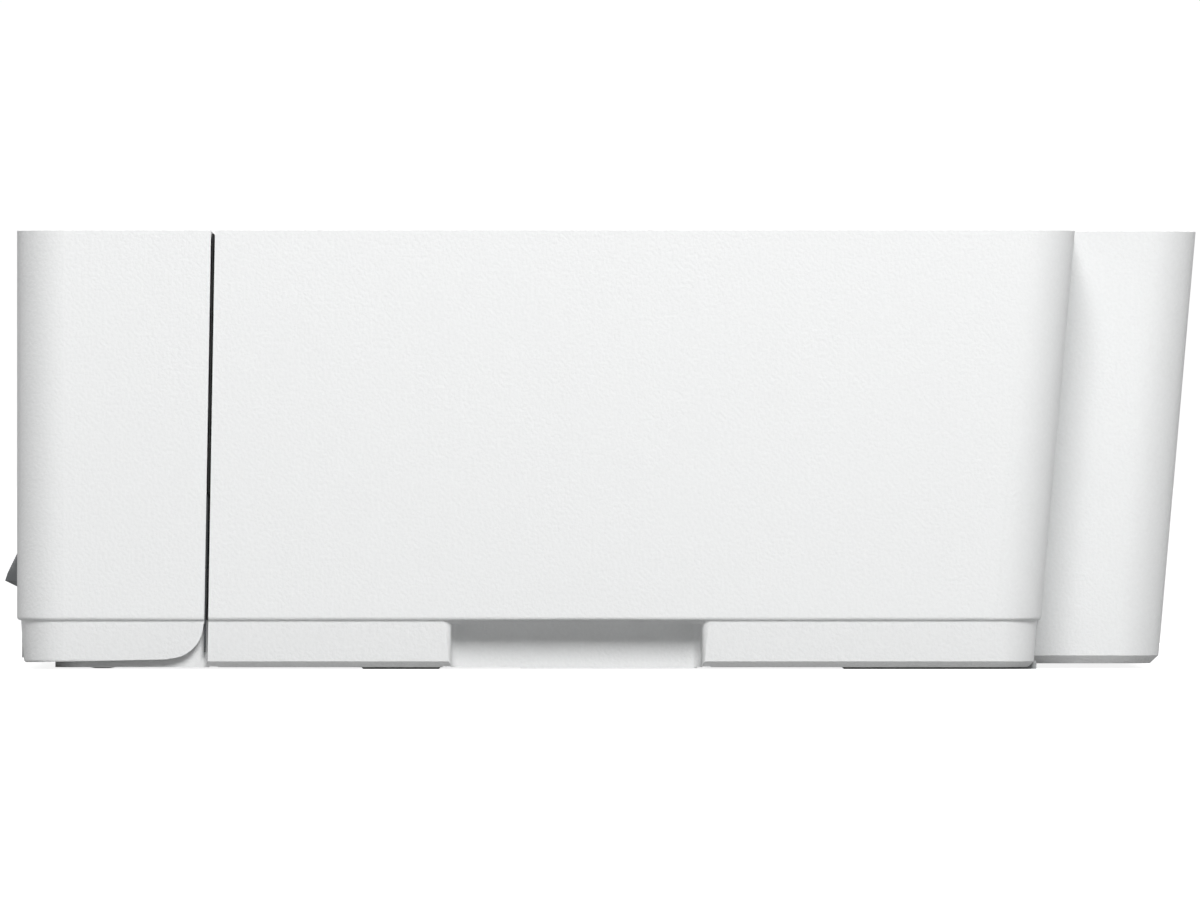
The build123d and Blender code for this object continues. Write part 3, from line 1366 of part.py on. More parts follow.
def cartridge_latch(side):
    """Hinged flap that presses one cartridge down, with its pins and finger lip."""
    middle = carriage_park_x + side * bay_middle
    x = around(middle, bay_width / 2 - running_gap)
    top = latch_pivot_z + latch_boss
    knee_y = latch_y - latch_flat
    tip_y = latch_y - latch_length
    tip_z = latch_pivot_z - latch_fall
    with BuildPart() as latch:
        side_profile([(latch_y, latch_pivot_z - latch_boss), (latch_y, top),
                      (knee_y, top - latch_boss / 2), (tip_y, tip_z),
                      (tip_y, tip_z - latch_thickness - latch_lip),
                      (knee_y, top - latch_boss / 2 - latch_thickness)], x)
        rod_along_x(latch_pin_radius + latch_boss, x, latch_y, latch_pivot_z)
        rod_along_x(latch_pin_radius, (x[0] - latch_pin_length, x[1] + latch_pin_length),
                    latch_y, latch_pivot_z)
    return latch


black_latch = cartridge_latch(1)
save(black_latch, "black_latch")
colour_latch = cartridge_latch(-1)
save(colour_latch, "colour_latch")

with BuildPart() as encoder_strip:
    block((-side_inner, side_inner), around(fork_y, strip_thickness / 2),
          (strip_low, strip_low + strip_height))
save(encoder_strip, "encoder_strip")

# Carriage belt round its two pulleys
with BuildPart() as carriage_belt:
    with BuildSketch(Plane.XZ.offset(-belt_y - belt_width / 2)) as loop:
        with Locations((0, belt_z)):
            SlotCenterToCenter(2 * pulley_x, 2 * (pulley_radius + belt_thickness))
            SlotCenterToCenter(2 * pulley_x, 2 * pulley_radius, mode=Mode.SUBTRACT)
    extrude(loop.sketch, amount=belt_width)
save(carriage_belt, "carriage_belt")


def belt_wheel(x, bore):
    """Flanged pulley of the carriage belt at x."""
    wheel_y = around(belt_y, belt_width / 2 + pulley_side)
    with BuildPart() as wheel:
        rod_along_y(pulley_radius - seat_gap, x, wheel_y, belt_z)
        for y in (wheel_y[0], wheel_y[1] - pulley_flange_thickness):
            rod_along_y(pulley_radius + pulley_flange, x, (y, y + pulley_flange_thickness), belt_z)
        rod_along_y(bore, x, wheel_y, belt_z, mode=Mode.SUBTRACT)
    return wheel


belt_pulley = belt_wheel(-pulley_x, motor_shaft_radius + pin_clearance)
save(belt_pulley, "belt_pulley")
belt_idler = belt_wheel(pulley_x, stud_radius + pin_clearance)
save(belt_idler, "belt_idler")

with BuildPart() as carriage_motor:
    motor_rear = back_rear + motor_length
    rod_along_y(motor_radius, -pulley_x, (back_rear, motor_rear), belt_z)
    chamfer(carriage_motor.edges().filter_by(GeomType.CIRCLE).group_by(Axis.Y)[-1],
            length=motor_chamfer)
    rod_along_y(motor_cap_radius, -pulley_x, (motor_rear, motor_rear + motor_cap_length), belt_z)
    rod_along_y(motor_shaft_radius, -pulley_x,
                (belt_y - belt_width / 2 - pulley_side - stud_end, back_rear), belt_z)
save(carriage_motor, "carriage_motor")

# ---------------------------------------------------------------- paper drive

gear_span = around(gear_x, gear_width / 2)
feed_angle = 0.0
idler_angle = meshing_angle(feed_angle, feed_teeth, bearing(feed_centre, idler_centre), idler_teeth)
eject_angle = meshing_angle(idler_angle, idler_teeth, bearing(idler_centre, eject_centre), eject_teeth)
motor_angle = meshing_angle(feed_angle, feed_teeth, bearing(feed_centre, motor_centre), motor_teeth)
roller_x = [(number - 1.5) * roller_spacing for number in range(4)]


def driven_roller(radius, width, centre, teeth, angle):
    """Steel shaft with its rubber rollers, and its gear outside the left side plate."""
    with BuildPart() as roller:
        rod_along_x(shaft_radius, (gear_span[0], side_outer + shaft_end), *centre)
        for x in roller_x:
            rod_along_x(radius, around(x, width / 2), *centre)
        gear_wheel(teeth, angle, centre, gear_span)
    return roller


feed_roller = driven_roller(feed_radius, feed_roller_width, feed_centre, feed_teeth, feed_angle)
save(feed_roller, "feed_roller")
eject_roller = driven_roller(eject_radius, eject_roller_width, eject_centre, eject_teeth, eject_angle)
save(eject_roller, "eject_roller")

with BuildPart() as idler_gear:
    gear_wheel(idler_teeth, idler_angle, idler_centre, gear_span)
    rod_along_x(stud_radius + pin_clearance, gear_span, *idler_centre, mode=Mode.SUBTRACT)
save(idler_gear, "idler_gear")

with BuildPart() as feed_motor:
    rod_along_x(motor_radius, (-side_inner, -side_inner + motor_length), *motor_centre)
    rod_along_x(motor_shaft_radius, (gear_span[0], -side_inner), *motor_centre)
save(feed_motor, "feed_motor")

with BuildPart() as motor_pinion:
    gear_wheel(motor_teeth, motor_angle, motor_centre, gear_span)
    rod_along_x(motor_shaft_radius + pin_clearance, gear_span, *motor_centre, mode=Mode.SUBTRACT)
save(motor_pinion, "motor_pinion")

with BuildPart() as pinch_rollers:
    rod_along_x(pinch_axle_radius, (-axle_half, axle_half), feed_y, pinch_z)
    for x in roller_x:
        rod_along_x(pinch_radius, around(x, pinch_width / 2), feed_y, pinch_z)
save(pinch_rollers, "pinch_rollers")

# Star wheels, in pairs over the eject rollers
with BuildPart() as star_wheels:
    rod_along_x(star_axle_radius, (-axle_half, axle_half), eject_y, star_z)
    for x in roller_x:
        for side in SIDES:
            with BuildSketch(Plane.YZ.offset(x + side * star_spacing / 2)) as star:
                with Locations((eject_y, star_z)):
                    RegularPolygon(star_radius, star_points)
            extrude(star.sketch, amount=star_thickness)
save(star_wheels, "star_wheels")

with BuildPart() as turn_roller:
    turn_half = rear_cover_half - turn_inset
    rod_along_x(shaft_radius, (-turn_half, turn_half), turn_y, turn_z)
    for x in roller_x:
        rod_along_x(turn_radius, around(x, turn_roller_width / 2), turn_y, turn_z)
save(turn_roller, "turn_roller")

# Curved outer guide of the paper turn, with ribs behind it and end plates for the roller
with BuildPart() as turn_guide:
    inner = turn_radius + turn_gap
    outer = inner + turn_wall
    guide_rear = cover_rear(cover_floor) - wall - turn_cover_gap
    with BuildSketch(Plane.YZ.offset(-turn_half)) as guide_wall:
        with Locations((turn_y, turn_z)):
            Circle(outer)
            Circle(inner, mode=Mode.SUBTRACT)
            Rectangle(2 * outer, 2 * outer, align=(Align.MAX, Align.CENTER), mode=Mode.SUBTRACT)
            with Locations((0, inner), (0, -outer)):
                Rectangle(turn_lead, outer - inner, align=(Align.MAX, Align.MIN))
    extrude(guide_wall.sketch, amount=2 * turn_half)
    rib_count = 2 * int((turn_half - turn_plate) / turn_rib_spacing) + 1
    for number in range(rib_count):
        rib_x = (number - (rib_count - 1) / 2) * turn_rib_spacing
        with BuildSketch(Plane.YZ.offset(rib_x - turn_rib_thickness / 2)) as guide_rib:
            with Locations((turn_y, cover_floor)):
                Rectangle(guide_rear - turn_y, turn_z + outer + turn_rib_rise - rear_cover_low,
                          align=(Align.MIN, Align.MIN))
            with Locations((turn_y, turn_z)):
                Circle(inner + turn_wall / 2, mode=Mode.SUBTRACT)
        extrude(guide_rib.sketch, amount=turn_rib_thickness)
    for side in SIDES:
        plate_x = outward(side, turn_half - turn_plate, turn_half)
        block(plate_x, (turn_y - turn_lead, turn_y + inner), around(turn_z, outer))
        rod_along_x(shaft_radius + pin_clearance, plate_x, turn_y, turn_z, mode=Mode.SUBTRACT)
save(turn_guide, "turn_guide")

# Paper guide under the return path, hung from the deck, with lugs for the pick arm
with BuildPart() as paper_guide:
    guide_top = paper_z - paper_guide_drop
    guide_low = guide_top - paper_guide_thickness
    arm_pivot_z = guide_low - arm_pivot_drop
    guide_x = paper_half_width + paper_guide_margin
    block((-guide_x, guide_x), (feed_y + feed_radius + paper_guide_front_gap,
                                turn_y - turn_radius - paper_guide_rear_gap),
          (guide_low, guide_top))
    for side in SIDES:
        block(outward(side, guide_x - paper_guide_side, guide_x), (chassis_back_y, deck_rear_y),
              (guide_top, chassis_deck_z))
        lug_x = outward(side, arm_half + running_gap, arm_half + running_gap + lug_thickness)
        block(lug_x, around(arm_pivot_y, lug_half), (arm_pivot_z - lug_half, guide_top - lug_lap))
        rod_along_x(arm_pin_radius + pin_clearance, lug_x, arm_pivot_y, arm_pivot_z,
                    mode=Mode.SUBTRACT)
save(paper_guide, "paper_guide")

# Pick arm and its roller, resting just above the tray floor
with BuildPart() as pick_arm:
    for side in SIDES:
        arm_x = outward(side, arm_half - arm_thickness, arm_half)
        with BuildSketch(Plane.YZ.offset(arm_x[0])) as arm_plate:
            with BuildLine():
                Polyline((arm_pivot_y, arm_pivot_z - arm_hub_radius),
                         (pick_y, pick_z - arm_hub_radius), (pick_y, pick_z + arm_hub_radius),
                         (arm_pivot_y, arm_pivot_z + arm_hub_radius - arm_taper), close=True)
            make_face()
            with Locations((arm_pivot_y, arm_pivot_z), (pick_y, pick_z)):
                Circle(arm_hub_radius)
            with Locations((pick_y, pick_z)):
                Circle(pick_pin_radius + pin_clearance, mode=Mode.SUBTRACT)
        extrude(arm_plate.sketch, amount=arm_thickness)
    bridge_y = arm_pivot_y + arm_bridge_start
    bridge_top = arm_pivot_z - arm_bridge_drop
    block((-arm_half, arm_half), (bridge_y, bridge_y + arm_bridge_depth),
          (bridge_top - arm_bridge_height, bridge_top))
    arm_pin_half = arm_half + arm_pin_end
    rod_along_x(arm_pin_radius, (-arm_pin_half, arm_pin_half), arm_pivot_y, arm_pivot_z)
save(pick_arm, "pick_arm")

with BuildPart() as pick_roller:
    rod_along_x(pick_radius, (-pick_width / 2, pick_width / 2), pick_y, pick_z)
    chamfer(pick_roller.edges().filter_by(GeomType.CIRCLE), length=pick_chamfer)
    rod_along_x(pick_pin_radius, (-arm_half, arm_half), pick_y, pick_z)
save(pick_roller, "pick_roller")

# Platen with its lengthwise ribs under the print line
with BuildPart() as platen:
    platen_y = (carriage_front_y + platen_behind_front, feed_y - feed_radius - platen_before_feed)
    platen_right = paper_half_width - platen_beyond_paper
    block((-side_inner, platen_right), platen_y, (platen_low, platen_low + platen_plate))
    rib_top_z = paper_z - platen_rib_gap
    rib_total = int(2 * paper_half_width / platen_rib_spacing)
    with Locations((0, sum(platen_y) / 2, (platen_low + rib_top_z) / 2)):
        with GridLocations(platen_rib_spacing, 0, rib_total, 1):
            Box(platen_rib_thickness, platen_y[1] - platen_y[0], rib_top_z - platen_low)
save(platen, "platen")

# Service station under the parked carriage, with a capping frame for each cartridge
with BuildPart() as service_station:
    station_top = carriage_low - station_below_carriage
    block((platen_right, side_inner), platen_y, (platen_low, station_top))
    block((platen_right + station_wall, side_inner - station_wall),
          (platen_y[0] + station_wall, platen_y[1] - station_wall),
          (platen_low + station_wall, station_top), mode=Mode.SUBTRACT)
    cap_y = sum(nozzle_y) / 2
    for side in SIDES:
        cap_x = carriage_park_x + side * bay_middle
        block(around(cap_x, cap_half), around(cap_y, cap_depth_half),
              (platen_low + station_wall, carriage_low - cap_gap))
        block(around(cap_x, cap_half - cap_rim), around(cap_y, cap_depth_half - cap_rim),
              (carriage_low - cap_recess, carriage_low), mode=Mode.SUBTRACT)
save(service_station, "service_station")

# ---------------------------------------------------------------- electrics

# Main board with its chips, two connectors and a row of capacitors
with BuildPart() as main_board:
    block(board_x, board_y, (board_z, board_top))
    chip_x = board_x[0] + (board_x[1] - board_x[0]) / 3
    chip_y = sum(board_y) / 2 - memory_depth
    block(around(chip_x, chip_size / 2), around(chip_y, chip_size / 2),
          (board_top, board_top + chip_height))
    memory_x = chip_x + chip_size / 2 + memory_width
    block((memory_x, memory_x + memory_width), around(chip_y, memory_depth / 2),
          (board_top, board_top + memory_height))
    connector_x = board_x[0] + connector_margin
    for y in (board_y[0] + connector_depth, board_y[1] - connector_margin - connector_depth):
        block((connector_x, connector_x + connector_length), (y, y + connector_depth),
              (board_top, board_top + connector_height))
    for number in range(3):
        rod_along_z(capacitor_radius, board_x[1] - connector_length + number * capacitor_spacing,
                    board_y[0] + connector_margin, (board_top, board_top + capacitor_height))
save(main_board, "main_board")

with BuildPart() as power_supply:
    supply_left = -(chassis_x - supply_gap)
    supply_rear = shell_rear(inlet_z) - socket_recess - socket_depth
    block((supply_left, supply_left + supply_width),
          (chassis_back_y + supply_behind_back, supply_rear),
          (deck_top, scanner_low - supply_below_scanner))
    chamfer(power_supply.edges().group_by(Axis.Z)[-1], length=supply_chamfer)
save(power_supply, "power_supply")


def rear_socket(x, z, width, height):
    """Open rear-facing socket shell at one place of the rear wall."""
    face = shell_rear(z) - socket_recess
    with BuildPart() as socket:
        block(around(x, width / 2 - fit_gap), (face - socket_depth, face),
              around(z, height / 2 - fit_gap))
        block(around(x, width / 2 - socket_wall), (face - socket_depth + socket_floor, face),
              around(z, height / 2 - socket_wall), mode=Mode.SUBTRACT)
    return socket


power_inlet = rear_socket(inlet_x, inlet_z, inlet_width, inlet_height)
with power_inlet:
    for side in SIDES:
        rod_along_y(inlet_pin_radius, inlet_x + side * inlet_pin_spacing / 2,
                    (shell_rear(inlet_z) - socket_depth, shell_rear(inlet_z) - inlet_pin_recess),
                    inlet_z)
save(power_inlet, "power_inlet")

usb_port = rear_socket(usb_x, usb_z, usb_width, usb_height)
with usb_port:
    block(around(usb_x, usb_tongue_width / 2),
          (shell_rear(usb_z) - socket_depth, shell_rear(usb_z) - usb_tongue_recess),
          around(usb_z, usb_tongue_height / 2))
save(usb_port, "usb_port")

# ---------------------------------------------------------------- controls

button_y = sum(panel_y) / 2
button_x = [(number - (button_count - 1) / 2) * button_spacing for number in range(button_count)]
switch_z = body_height - switch_depth
flange_low = body_height - wall - panel_flange_thickness

# Slate control panel let into the top of the front cover, with posts for the switch board
with BuildPart() as control_panel:
    block((-panel_half + fit_gap, panel_half - fit_gap),
          (panel_y[0] + fit_gap, panel_y[1] - fit_gap),
          (body_height - wall, body_height - panel_recess))
    block((-panel_half - panel_flange, panel_half + panel_flange),
          (panel_y[0] - panel_flange, panel_y[1] + panel_flange), (flange_low, body_height - wall))
    for x in button_x:
        rod_along_z(button_radius + running_gap / 2, x, button_y, (flange_low, body_height),
                    mode=Mode.SUBTRACT)
    for side in SIDES:
        for y in (panel_y[0] + panel_post_inset, panel_y[1] - panel_post_inset):
            rod_along_z(panel_post_radius, side * (switch_board_half - switch_board_inset), y,
                        (switch_z, flange_low))
save(control_panel, "control_panel")

# Small board with the switches, on the panel's posts
with BuildPart() as button_board:
    block((-switch_board_half, switch_board_half),
          (panel_y[0] + switch_board_inset, panel_y[1] - switch_board_inset),
          (switch_z - board_thickness, switch_z))
    for x in button_x:
        block(around(x, switch_size / 2), around(button_y, switch_size / 2),
              (switch_z, switch_z + switch_height))
save(button_board, "button_board")

# Round push buttons, each with a skirt under the panel and a stem over its switch
for number, x in enumerate(button_x, start=1):
    with BuildPart() as button:
        skirt_top = flange_low - fit_gap
        rod_along_z(button_radius, x, button_y, (skirt_top, body_height - button_recess))
        chamfer(button.edges().group_by(Axis.Z)[-1], length=button_chamfer)
        skirt_bottom = skirt_top - button_skirt_thickness
        rod_along_z(button_radius + button_skirt, x, button_y, (skirt_bottom, skirt_top))
        rod_along_z(button_stem_radius, x, button_y,
                    (switch_z + switch_height + button_travel + fit_gap, skirt_bottom))
    save(button, f"button_{number}")
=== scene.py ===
import math
from functools import partial

import bmesh
import bpy
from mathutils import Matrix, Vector


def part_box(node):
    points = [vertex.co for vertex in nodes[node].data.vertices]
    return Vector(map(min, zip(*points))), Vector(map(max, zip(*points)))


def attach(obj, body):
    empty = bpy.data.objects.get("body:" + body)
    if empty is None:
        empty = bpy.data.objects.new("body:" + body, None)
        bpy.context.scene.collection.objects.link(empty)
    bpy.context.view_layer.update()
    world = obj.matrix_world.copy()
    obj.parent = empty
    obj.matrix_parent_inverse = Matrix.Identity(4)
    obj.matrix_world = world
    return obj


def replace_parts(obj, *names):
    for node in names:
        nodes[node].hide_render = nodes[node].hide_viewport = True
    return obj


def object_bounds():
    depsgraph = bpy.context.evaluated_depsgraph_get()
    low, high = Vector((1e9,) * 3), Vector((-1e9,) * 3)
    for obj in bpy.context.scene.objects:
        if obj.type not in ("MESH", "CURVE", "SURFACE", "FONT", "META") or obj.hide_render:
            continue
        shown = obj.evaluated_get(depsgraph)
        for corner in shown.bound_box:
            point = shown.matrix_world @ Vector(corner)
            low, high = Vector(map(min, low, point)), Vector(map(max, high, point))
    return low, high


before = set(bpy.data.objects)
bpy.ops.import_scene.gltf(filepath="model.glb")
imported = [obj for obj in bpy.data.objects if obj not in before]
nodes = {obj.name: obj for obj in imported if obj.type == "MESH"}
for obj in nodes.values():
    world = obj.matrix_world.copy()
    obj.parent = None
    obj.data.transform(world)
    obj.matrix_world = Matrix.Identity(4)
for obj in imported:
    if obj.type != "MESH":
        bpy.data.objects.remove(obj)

bl_info = {
    "name": "Inkjet printer",
    "version": (1, 0, 0),
    "blender": (4, 5, 0),
    "location": "3D View > Sidebar > Printer",
    "description": "Dresses the solids of an inkjet printer with finishes and small pieces",
    "category": "Add Mesh",
}

MM = 0.001
SHARP_ANGLE = 35        # degrees past which an edge is a real corner
BOARD_THICKNESS = 1.6   # millimetres of glass epoxy under the parts of a board
cad_low, cad_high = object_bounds()


# ---------------------------------------------------------------- materials

def linear(code):
    """Linear colour of an sRGB hex value."""
    channels = [int(code[start:start + 2], 16) / 255 for start in (1, 3, 5)]
    return tuple(c / 12.92 if c <= 0.04045 else ((c + 0.055) / 1.055) ** 2.4 for c in channels)


def add_node(tree, kind, inputs=(), **settings):
    """Add a shader node, set its properties, and fill its inputs with values or links."""
    node = tree.nodes.new(kind)
    for name, value in settings.items():
        setattr(node, name, value)
    for name, value in dict(inputs).items():
        if isinstance(value, bpy.types.NodeSocket):
            tree.links.new(value, node.inputs[name])
        else:
            node.inputs[name].default_value = value
    return node


class Finish:
    """One material while it is built up from a base finish, zones and marks.

    A colour is an sRGB hex value, or the linear colour of a setting. A mask is a socket that
    gives 1 in a region and 0 outside it, and its measures are in millimetres.
    """

    DRIFT_SIZE = 40.0           # millimetres over which the gloss drifts
    DRIFT_REACH = 0.04          # how far the roughness drifts either way
    DRIFT_RANGE = (0.3, 0.7)    # where nearly all values of the drifting noise lie

    def __init__(self, name, colour, roughness, grain=0.6, relief=0.01, metallic=0.0, mottle=0.05,
                 stretch=(1, 1, 1)):
        """grain and relief are in millimetres; stretch draws the grain out along an axis."""
        self.material = bpy.data.materials.new(name)
        self.material.use_nodes = True
        self.material.node_tree.nodes.clear()
        self.add = partial(add_node, self.material.node_tree)
        self.place = self.add("ShaderNodeTexCoord").outputs["Object"]
        self.axes = self.add("ShaderNodeSeparateXYZ", {"Vector": self.place}).outputs
        drawn = self.add("ShaderNodeMapping", {"Vector": self.place, "Scale": stretch})
        self.fine, self.drift = (
            self.add("ShaderNodeTexNoise", {
                "Vector": vector, "Scale": 1 / (size * MM), "Detail": detail}).outputs["Fac"]
            for vector, size, detail in ((drawn.outputs["Vector"], grain, 3.0),
                                         (self.place, self.DRIFT_SIZE, 2.0)))
        self.relief = relief
        self.mottle = mottle
        self.colour, self.roughness = self.varied(colour, roughness)
        self.metallic = metallic

    def varied(self, colour, roughness):
        """A colour that the fine grain mottles and a roughness that drifts slowly."""
        base = linear(colour) if isinstance(colour, str) else colour
        dark = (*(c * (1 - 2 * self.mottle) for c in base), 1.0)
        light = (*(min(1.0, c * (1 + 2 * self.mottle)) for c in base), 1.0)
        mottled = self.add("ShaderNodeMix", {0: self.fine, 6: dark, 7: light}, data_type="RGBA")
        gloss = self.add("ShaderNodeMapRange", {
            "Value": self.drift,
            "From Min": self.DRIFT_RANGE[0], "From Max": self.DRIFT_RANGE[1],
            "To Min": roughness - self.DRIFT_REACH, "To Max": roughness + self.DRIFT_REACH})
        return mottled.outputs[2], gloss.outputs["Result"]

    def overlap(self, mask, *others):
        """Mask of what lies in every one of several masks."""
        for other in others:
            mask = self.add("ShaderNodeMath", {0: mask, 1: other},
                            operation="MULTIPLY").outputs[0]
        return mask

    def inside(self, **sides):
        """Mask of a box: a low and a high side for each axis that bounds it, None where open."""
        return self.overlap(*(
            self.add("ShaderNodeMath", {0: self.axes[axis], 1: side * MM},
                     operation=operation).outputs[0]
            for axis, limits in sides.items()
            for side, operation in zip(limits, ("GREATER_THAN", "LESS_THAN"))
            if side is not None))

    def core(self, across, up, centre, radius):
        """Mask of what lies within radius of a line that stands on two axes at centre."""
        flat = self.add("ShaderNodeCombineXYZ", {"X": self.axes[across], "Y": self.axes[up]})
        reach = self.add("ShaderNodeVectorMath", {
            0: flat.outputs["Vector"], 1: (centre[0] * MM, centre[1] * MM, 0.0)},
            operation="DISTANCE")
        return self.add("ShaderNodeMath", {0: reach.outputs["Value"], 1: radius * MM},
                        operation="LESS_THAN").outputs[0]

    def stripes(self, spacing, share):
        """Mask of stripes in a row along X, each as wide as its share of the spacing."""
        mask = self.axes["X"]
        for operation, value in (("DIVIDE", spacing * MM), ("FRACT", 0.0), ("LESS_THAN", share)):
            mask = self.add("ShaderNodeMath", {0: mask, 1: value}, operation=operation).outputs[0]
        return mask

    def zone(self, mask, colour, roughness, metallic=0.0):
        """Another finish where the mask is 1."""
        mottled, gloss = self.varied(colour, roughness)
        self.colour = self.add("ShaderNodeMix", {0: mask, 6: self.colour, 7: mottled},
                               data_type="RGBA").outputs[2]
        self.roughness = self.add("ShaderNodeMix", {
            0: mask, 2: self.roughness, 3: gloss}).outputs[0]
        if metallic != self.metallic:
            self.metallic = self.add("ShaderNodeMix", {
                0: mask, 2: self.metallic, 3: metallic}).outputs[0]
        return self

    def close(self, **more):
        """Join everything to the shader; more holds its other sockets by name."""
        bump = self.add("ShaderNodeBump", {
            "Height": self.fine, "Strength": 1.0, "Distance": self.relief * MM})
        inputs = {"Base Color": self.colour, "Roughness": self.roughness,
                  "Metallic": self.metallic, "Normal": bump.outputs["Normal"]}
        inputs.update({name.replace("_", " "): value for name, value in more.items()})
        shader = self.add("ShaderNodeBsdfPrincipled", inputs)
        self.add("ShaderNodeOutputMaterial", {"Surface": shader.outputs["BSDF"]})
        return self.material


def paint(material, *names):
    """Give CAD nodes one material."""
    for name in names:
        mesh = nodes[name].data
        mesh.materials.clear()
        mesh.materials.append(material)


def soften_edges(width, *names):
    """Round the sharp moulded edges of CAD nodes by modifiers, and leave their meshes alone."""
    for name in names:
        weld = nodes[name].modifiers.new("weld", "WELD")
        weld.merge_threshold = 0.002 * MM
        bevel = nodes[name].modifiers.new("edge rounding", "BEVEL")
        bevel.width = width * MM
        bevel.segments = 2
        bevel.limit_method = "ANGLE"
        bevel.angle_limit = math.radians(SHARP_ANGLE)
        weigh = nodes[name].modifiers.new("flat faces first", "WEIGHTED_NORMAL")
        weigh.keep_sharp = True
        weigh.weight = 90


# ---------------------------------------------------------------- pieces, all in millimetres

def box_mm(node):
    """Lowest and highest corner of a CAD node."""
    return tuple(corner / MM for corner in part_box(node))


def add_piece(name, shape, material, body):
    """Turn a shape into an object that rides on a body."""
    bmesh.ops.recalc_face_normals(shape, faces=shape.faces)
    bmesh.ops.scale(shape, vec=(MM, MM, MM), verts=shape.verts)
    mesh = bpy.data.meshes.new(name)
    shape.to_mesh(mesh)
    shape.free()
    mesh.materials.append(material)
    piece = bpy.data.objects.new(name, mesh)
    bpy.context.scene.collection.objects.link(piece)
    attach(piece, body)
    return piece


def smooth(piece, angle=SHARP_ANGLE):
    """Shade a piece smooth, with its real corners kept sharp."""
    piece.data.shade_smooth()
    piece.data.set_sharp_from_angle(angle=math.radians(angle))
    return piece


def rounded_outline(low, high, radius, inset, corner_steps=6, least_radius=0.05):
    """Points round a rectangle with rounded corners, drawn in by inset."""
    radius = max(radius - inset, least_radius)
    points = []
    for quarter, (x, y) in enumerate(((high[0], high[1]), (low[0], high[1]),
                                      (low[0], low[1]), (high[0], low[1]))):
        side_x = -1 if quarter in (0, 3) else 1
        side_y = -1 if quarter in (0, 1) else 1
        centre_x = x + side_x * (inset + radius)
        centre_y = y + side_y * (inset + radius)
        for step in range(corner_steps + 1):
            turn = math.radians(90 * (quarter + step / corner_steps))
            points.append((centre_x + radius * math.cos(turn),
                           centre_y + radius * math.sin(turn)))
    return points


def skin_rings(shape, rings):
    """Join closed rings of points into a skin with both ends capped."""
    made = [[shape.verts.new(point) for point in ring] for ring in rings]
    for lower, upper in zip(made, made[1:]):
        for index in range(len(lower)):
            after = (index + 1) % len(lower)
            shape.faces.new((lower[index], lower[after], upper[after], upper[index]))
    shape.faces.new(made[0])
    shape.faces.new(made[-1])


def add_plate(shape, low, high, radius, profile):
    """Add a rounded plate whose edge follows profile, a list of (inset, height)."""
    skin_rings(shape, [[(x, y, height) for x, y in rounded_outline(low, high, radius, inset)]
                       for inset, height in profile])


def arc(radius, start, end, steps):
    """Points of an arc round the origin, with its angles in degrees."""
    turns = [math.radians(start + (end - start) * step / steps) for step in range(steps + 1)]
    return [(radius * math.cos(turn), radius * math.sin(turn)) for turn in turns]


def add_disc(shape, centre, profile, steps=32):
    """Add a turned piece about a vertical axis; profile is a list of (radius, height)."""
    skin_rings(shape, [[(centre[0] + x, centre[1] + y, height)
                        for x, y in arc(radius, 0, 360, steps)[:-1]]
                       for radius, height in profile])


def add_stroke(shape, points, width, low, high):
    """Add a printed line of some width along a path, between two heights."""
    sides = ([], [])
    for index, point in enumerate(points):
        before = Vector(points[max(index - 1, 0)])
        after = Vector(points[min(index + 1, len(points) - 1)])
        along = (after - before).normalized()
        across = Vector((-along.y, along.x)) * width / 2
        for side, sign in zip(sides, (1, -1)):
            side.append((point[0] + sign * across.x, point[1] + sign * across.y))
    outline = sides[0] + sides[1][::-1]
    skin_rings(shape, [[(x, y, height) for x, y in outline] for height in (low, high)])


# ---------------------------------------------------------------- settings

class HousingSettings(bpy.types.PropertyGroup):
    """Colours, grain and edges of the housings."""

    white: bpy.props.FloatVectorProperty(
        name="White", description="Colour of the white housings", subtype="COLOR",
        default=linear("#F2F3F3"), min=0.0, max=1.0)
    slate: bpy.props.FloatVectorProperty(
        name="Slate", description="Colour of the trays and the control panel", subtype="COLOR",
        default=linear("#5A5E62"), min=0.0, max=1.0)
    grain: bpy.props.FloatProperty(
        name="Mould grain", description="Size of the pebbles in the grain of the white housings",
        default=1.0 * MM, min=0.1 * MM, max=3.0 * MM, precision=5, unit="LENGTH")
    relief: bpy.props.FloatProperty(
        name="Grain depth", description="Depth of the grain of the white housings",
        default=0.145 * MM, min=0.0, max=0.5 * MM, precision=6, unit="LENGTH")
    rounding: bpy.props.FloatProperty(
        name="Edge rounding", description="Width of the rounded edges of the white housings",
        default=0.35 * MM, min=0.05 * MM, max=1.0 * MM, precision=5, unit="LENGTH")


class PieceSettings(bpy.types.PropertyGroup):
    """Sizes of the small pieces that are added to the solids."""

    pad_crown: bpy.props.FloatProperty(
        name="Pad crown", description="How far the foam pad swells at its middle",
        default=0.25 * MM, min=0.0, max=0.5 * MM, precision=5, unit="LENGTH")
    print_width: bpy.props.FloatProperty(
        name="Print line", description="Width of the lines of the symbols on the buttons",
        default=0.7 * MM, min=0.3 * MM, max=1.5 * MM, precision=5, unit="LENGTH")
    screw_head: bpy.props.FloatProperty(
        name="Screw head", description="Radius of the heads of the main board's screws",
        default=2.6 * MM, min=1.0 * MM, max=4.0 * MM, precision=5, unit="LENGTH")
    tooth_pitch: bpy.props.FloatProperty(
        name="Belt tooth pitch", description="Spacing of the teeth of the carriage belt",
        default=2.03 * MM, min=1.0 * MM, max=5.0 * MM, precision=5, unit="LENGTH")


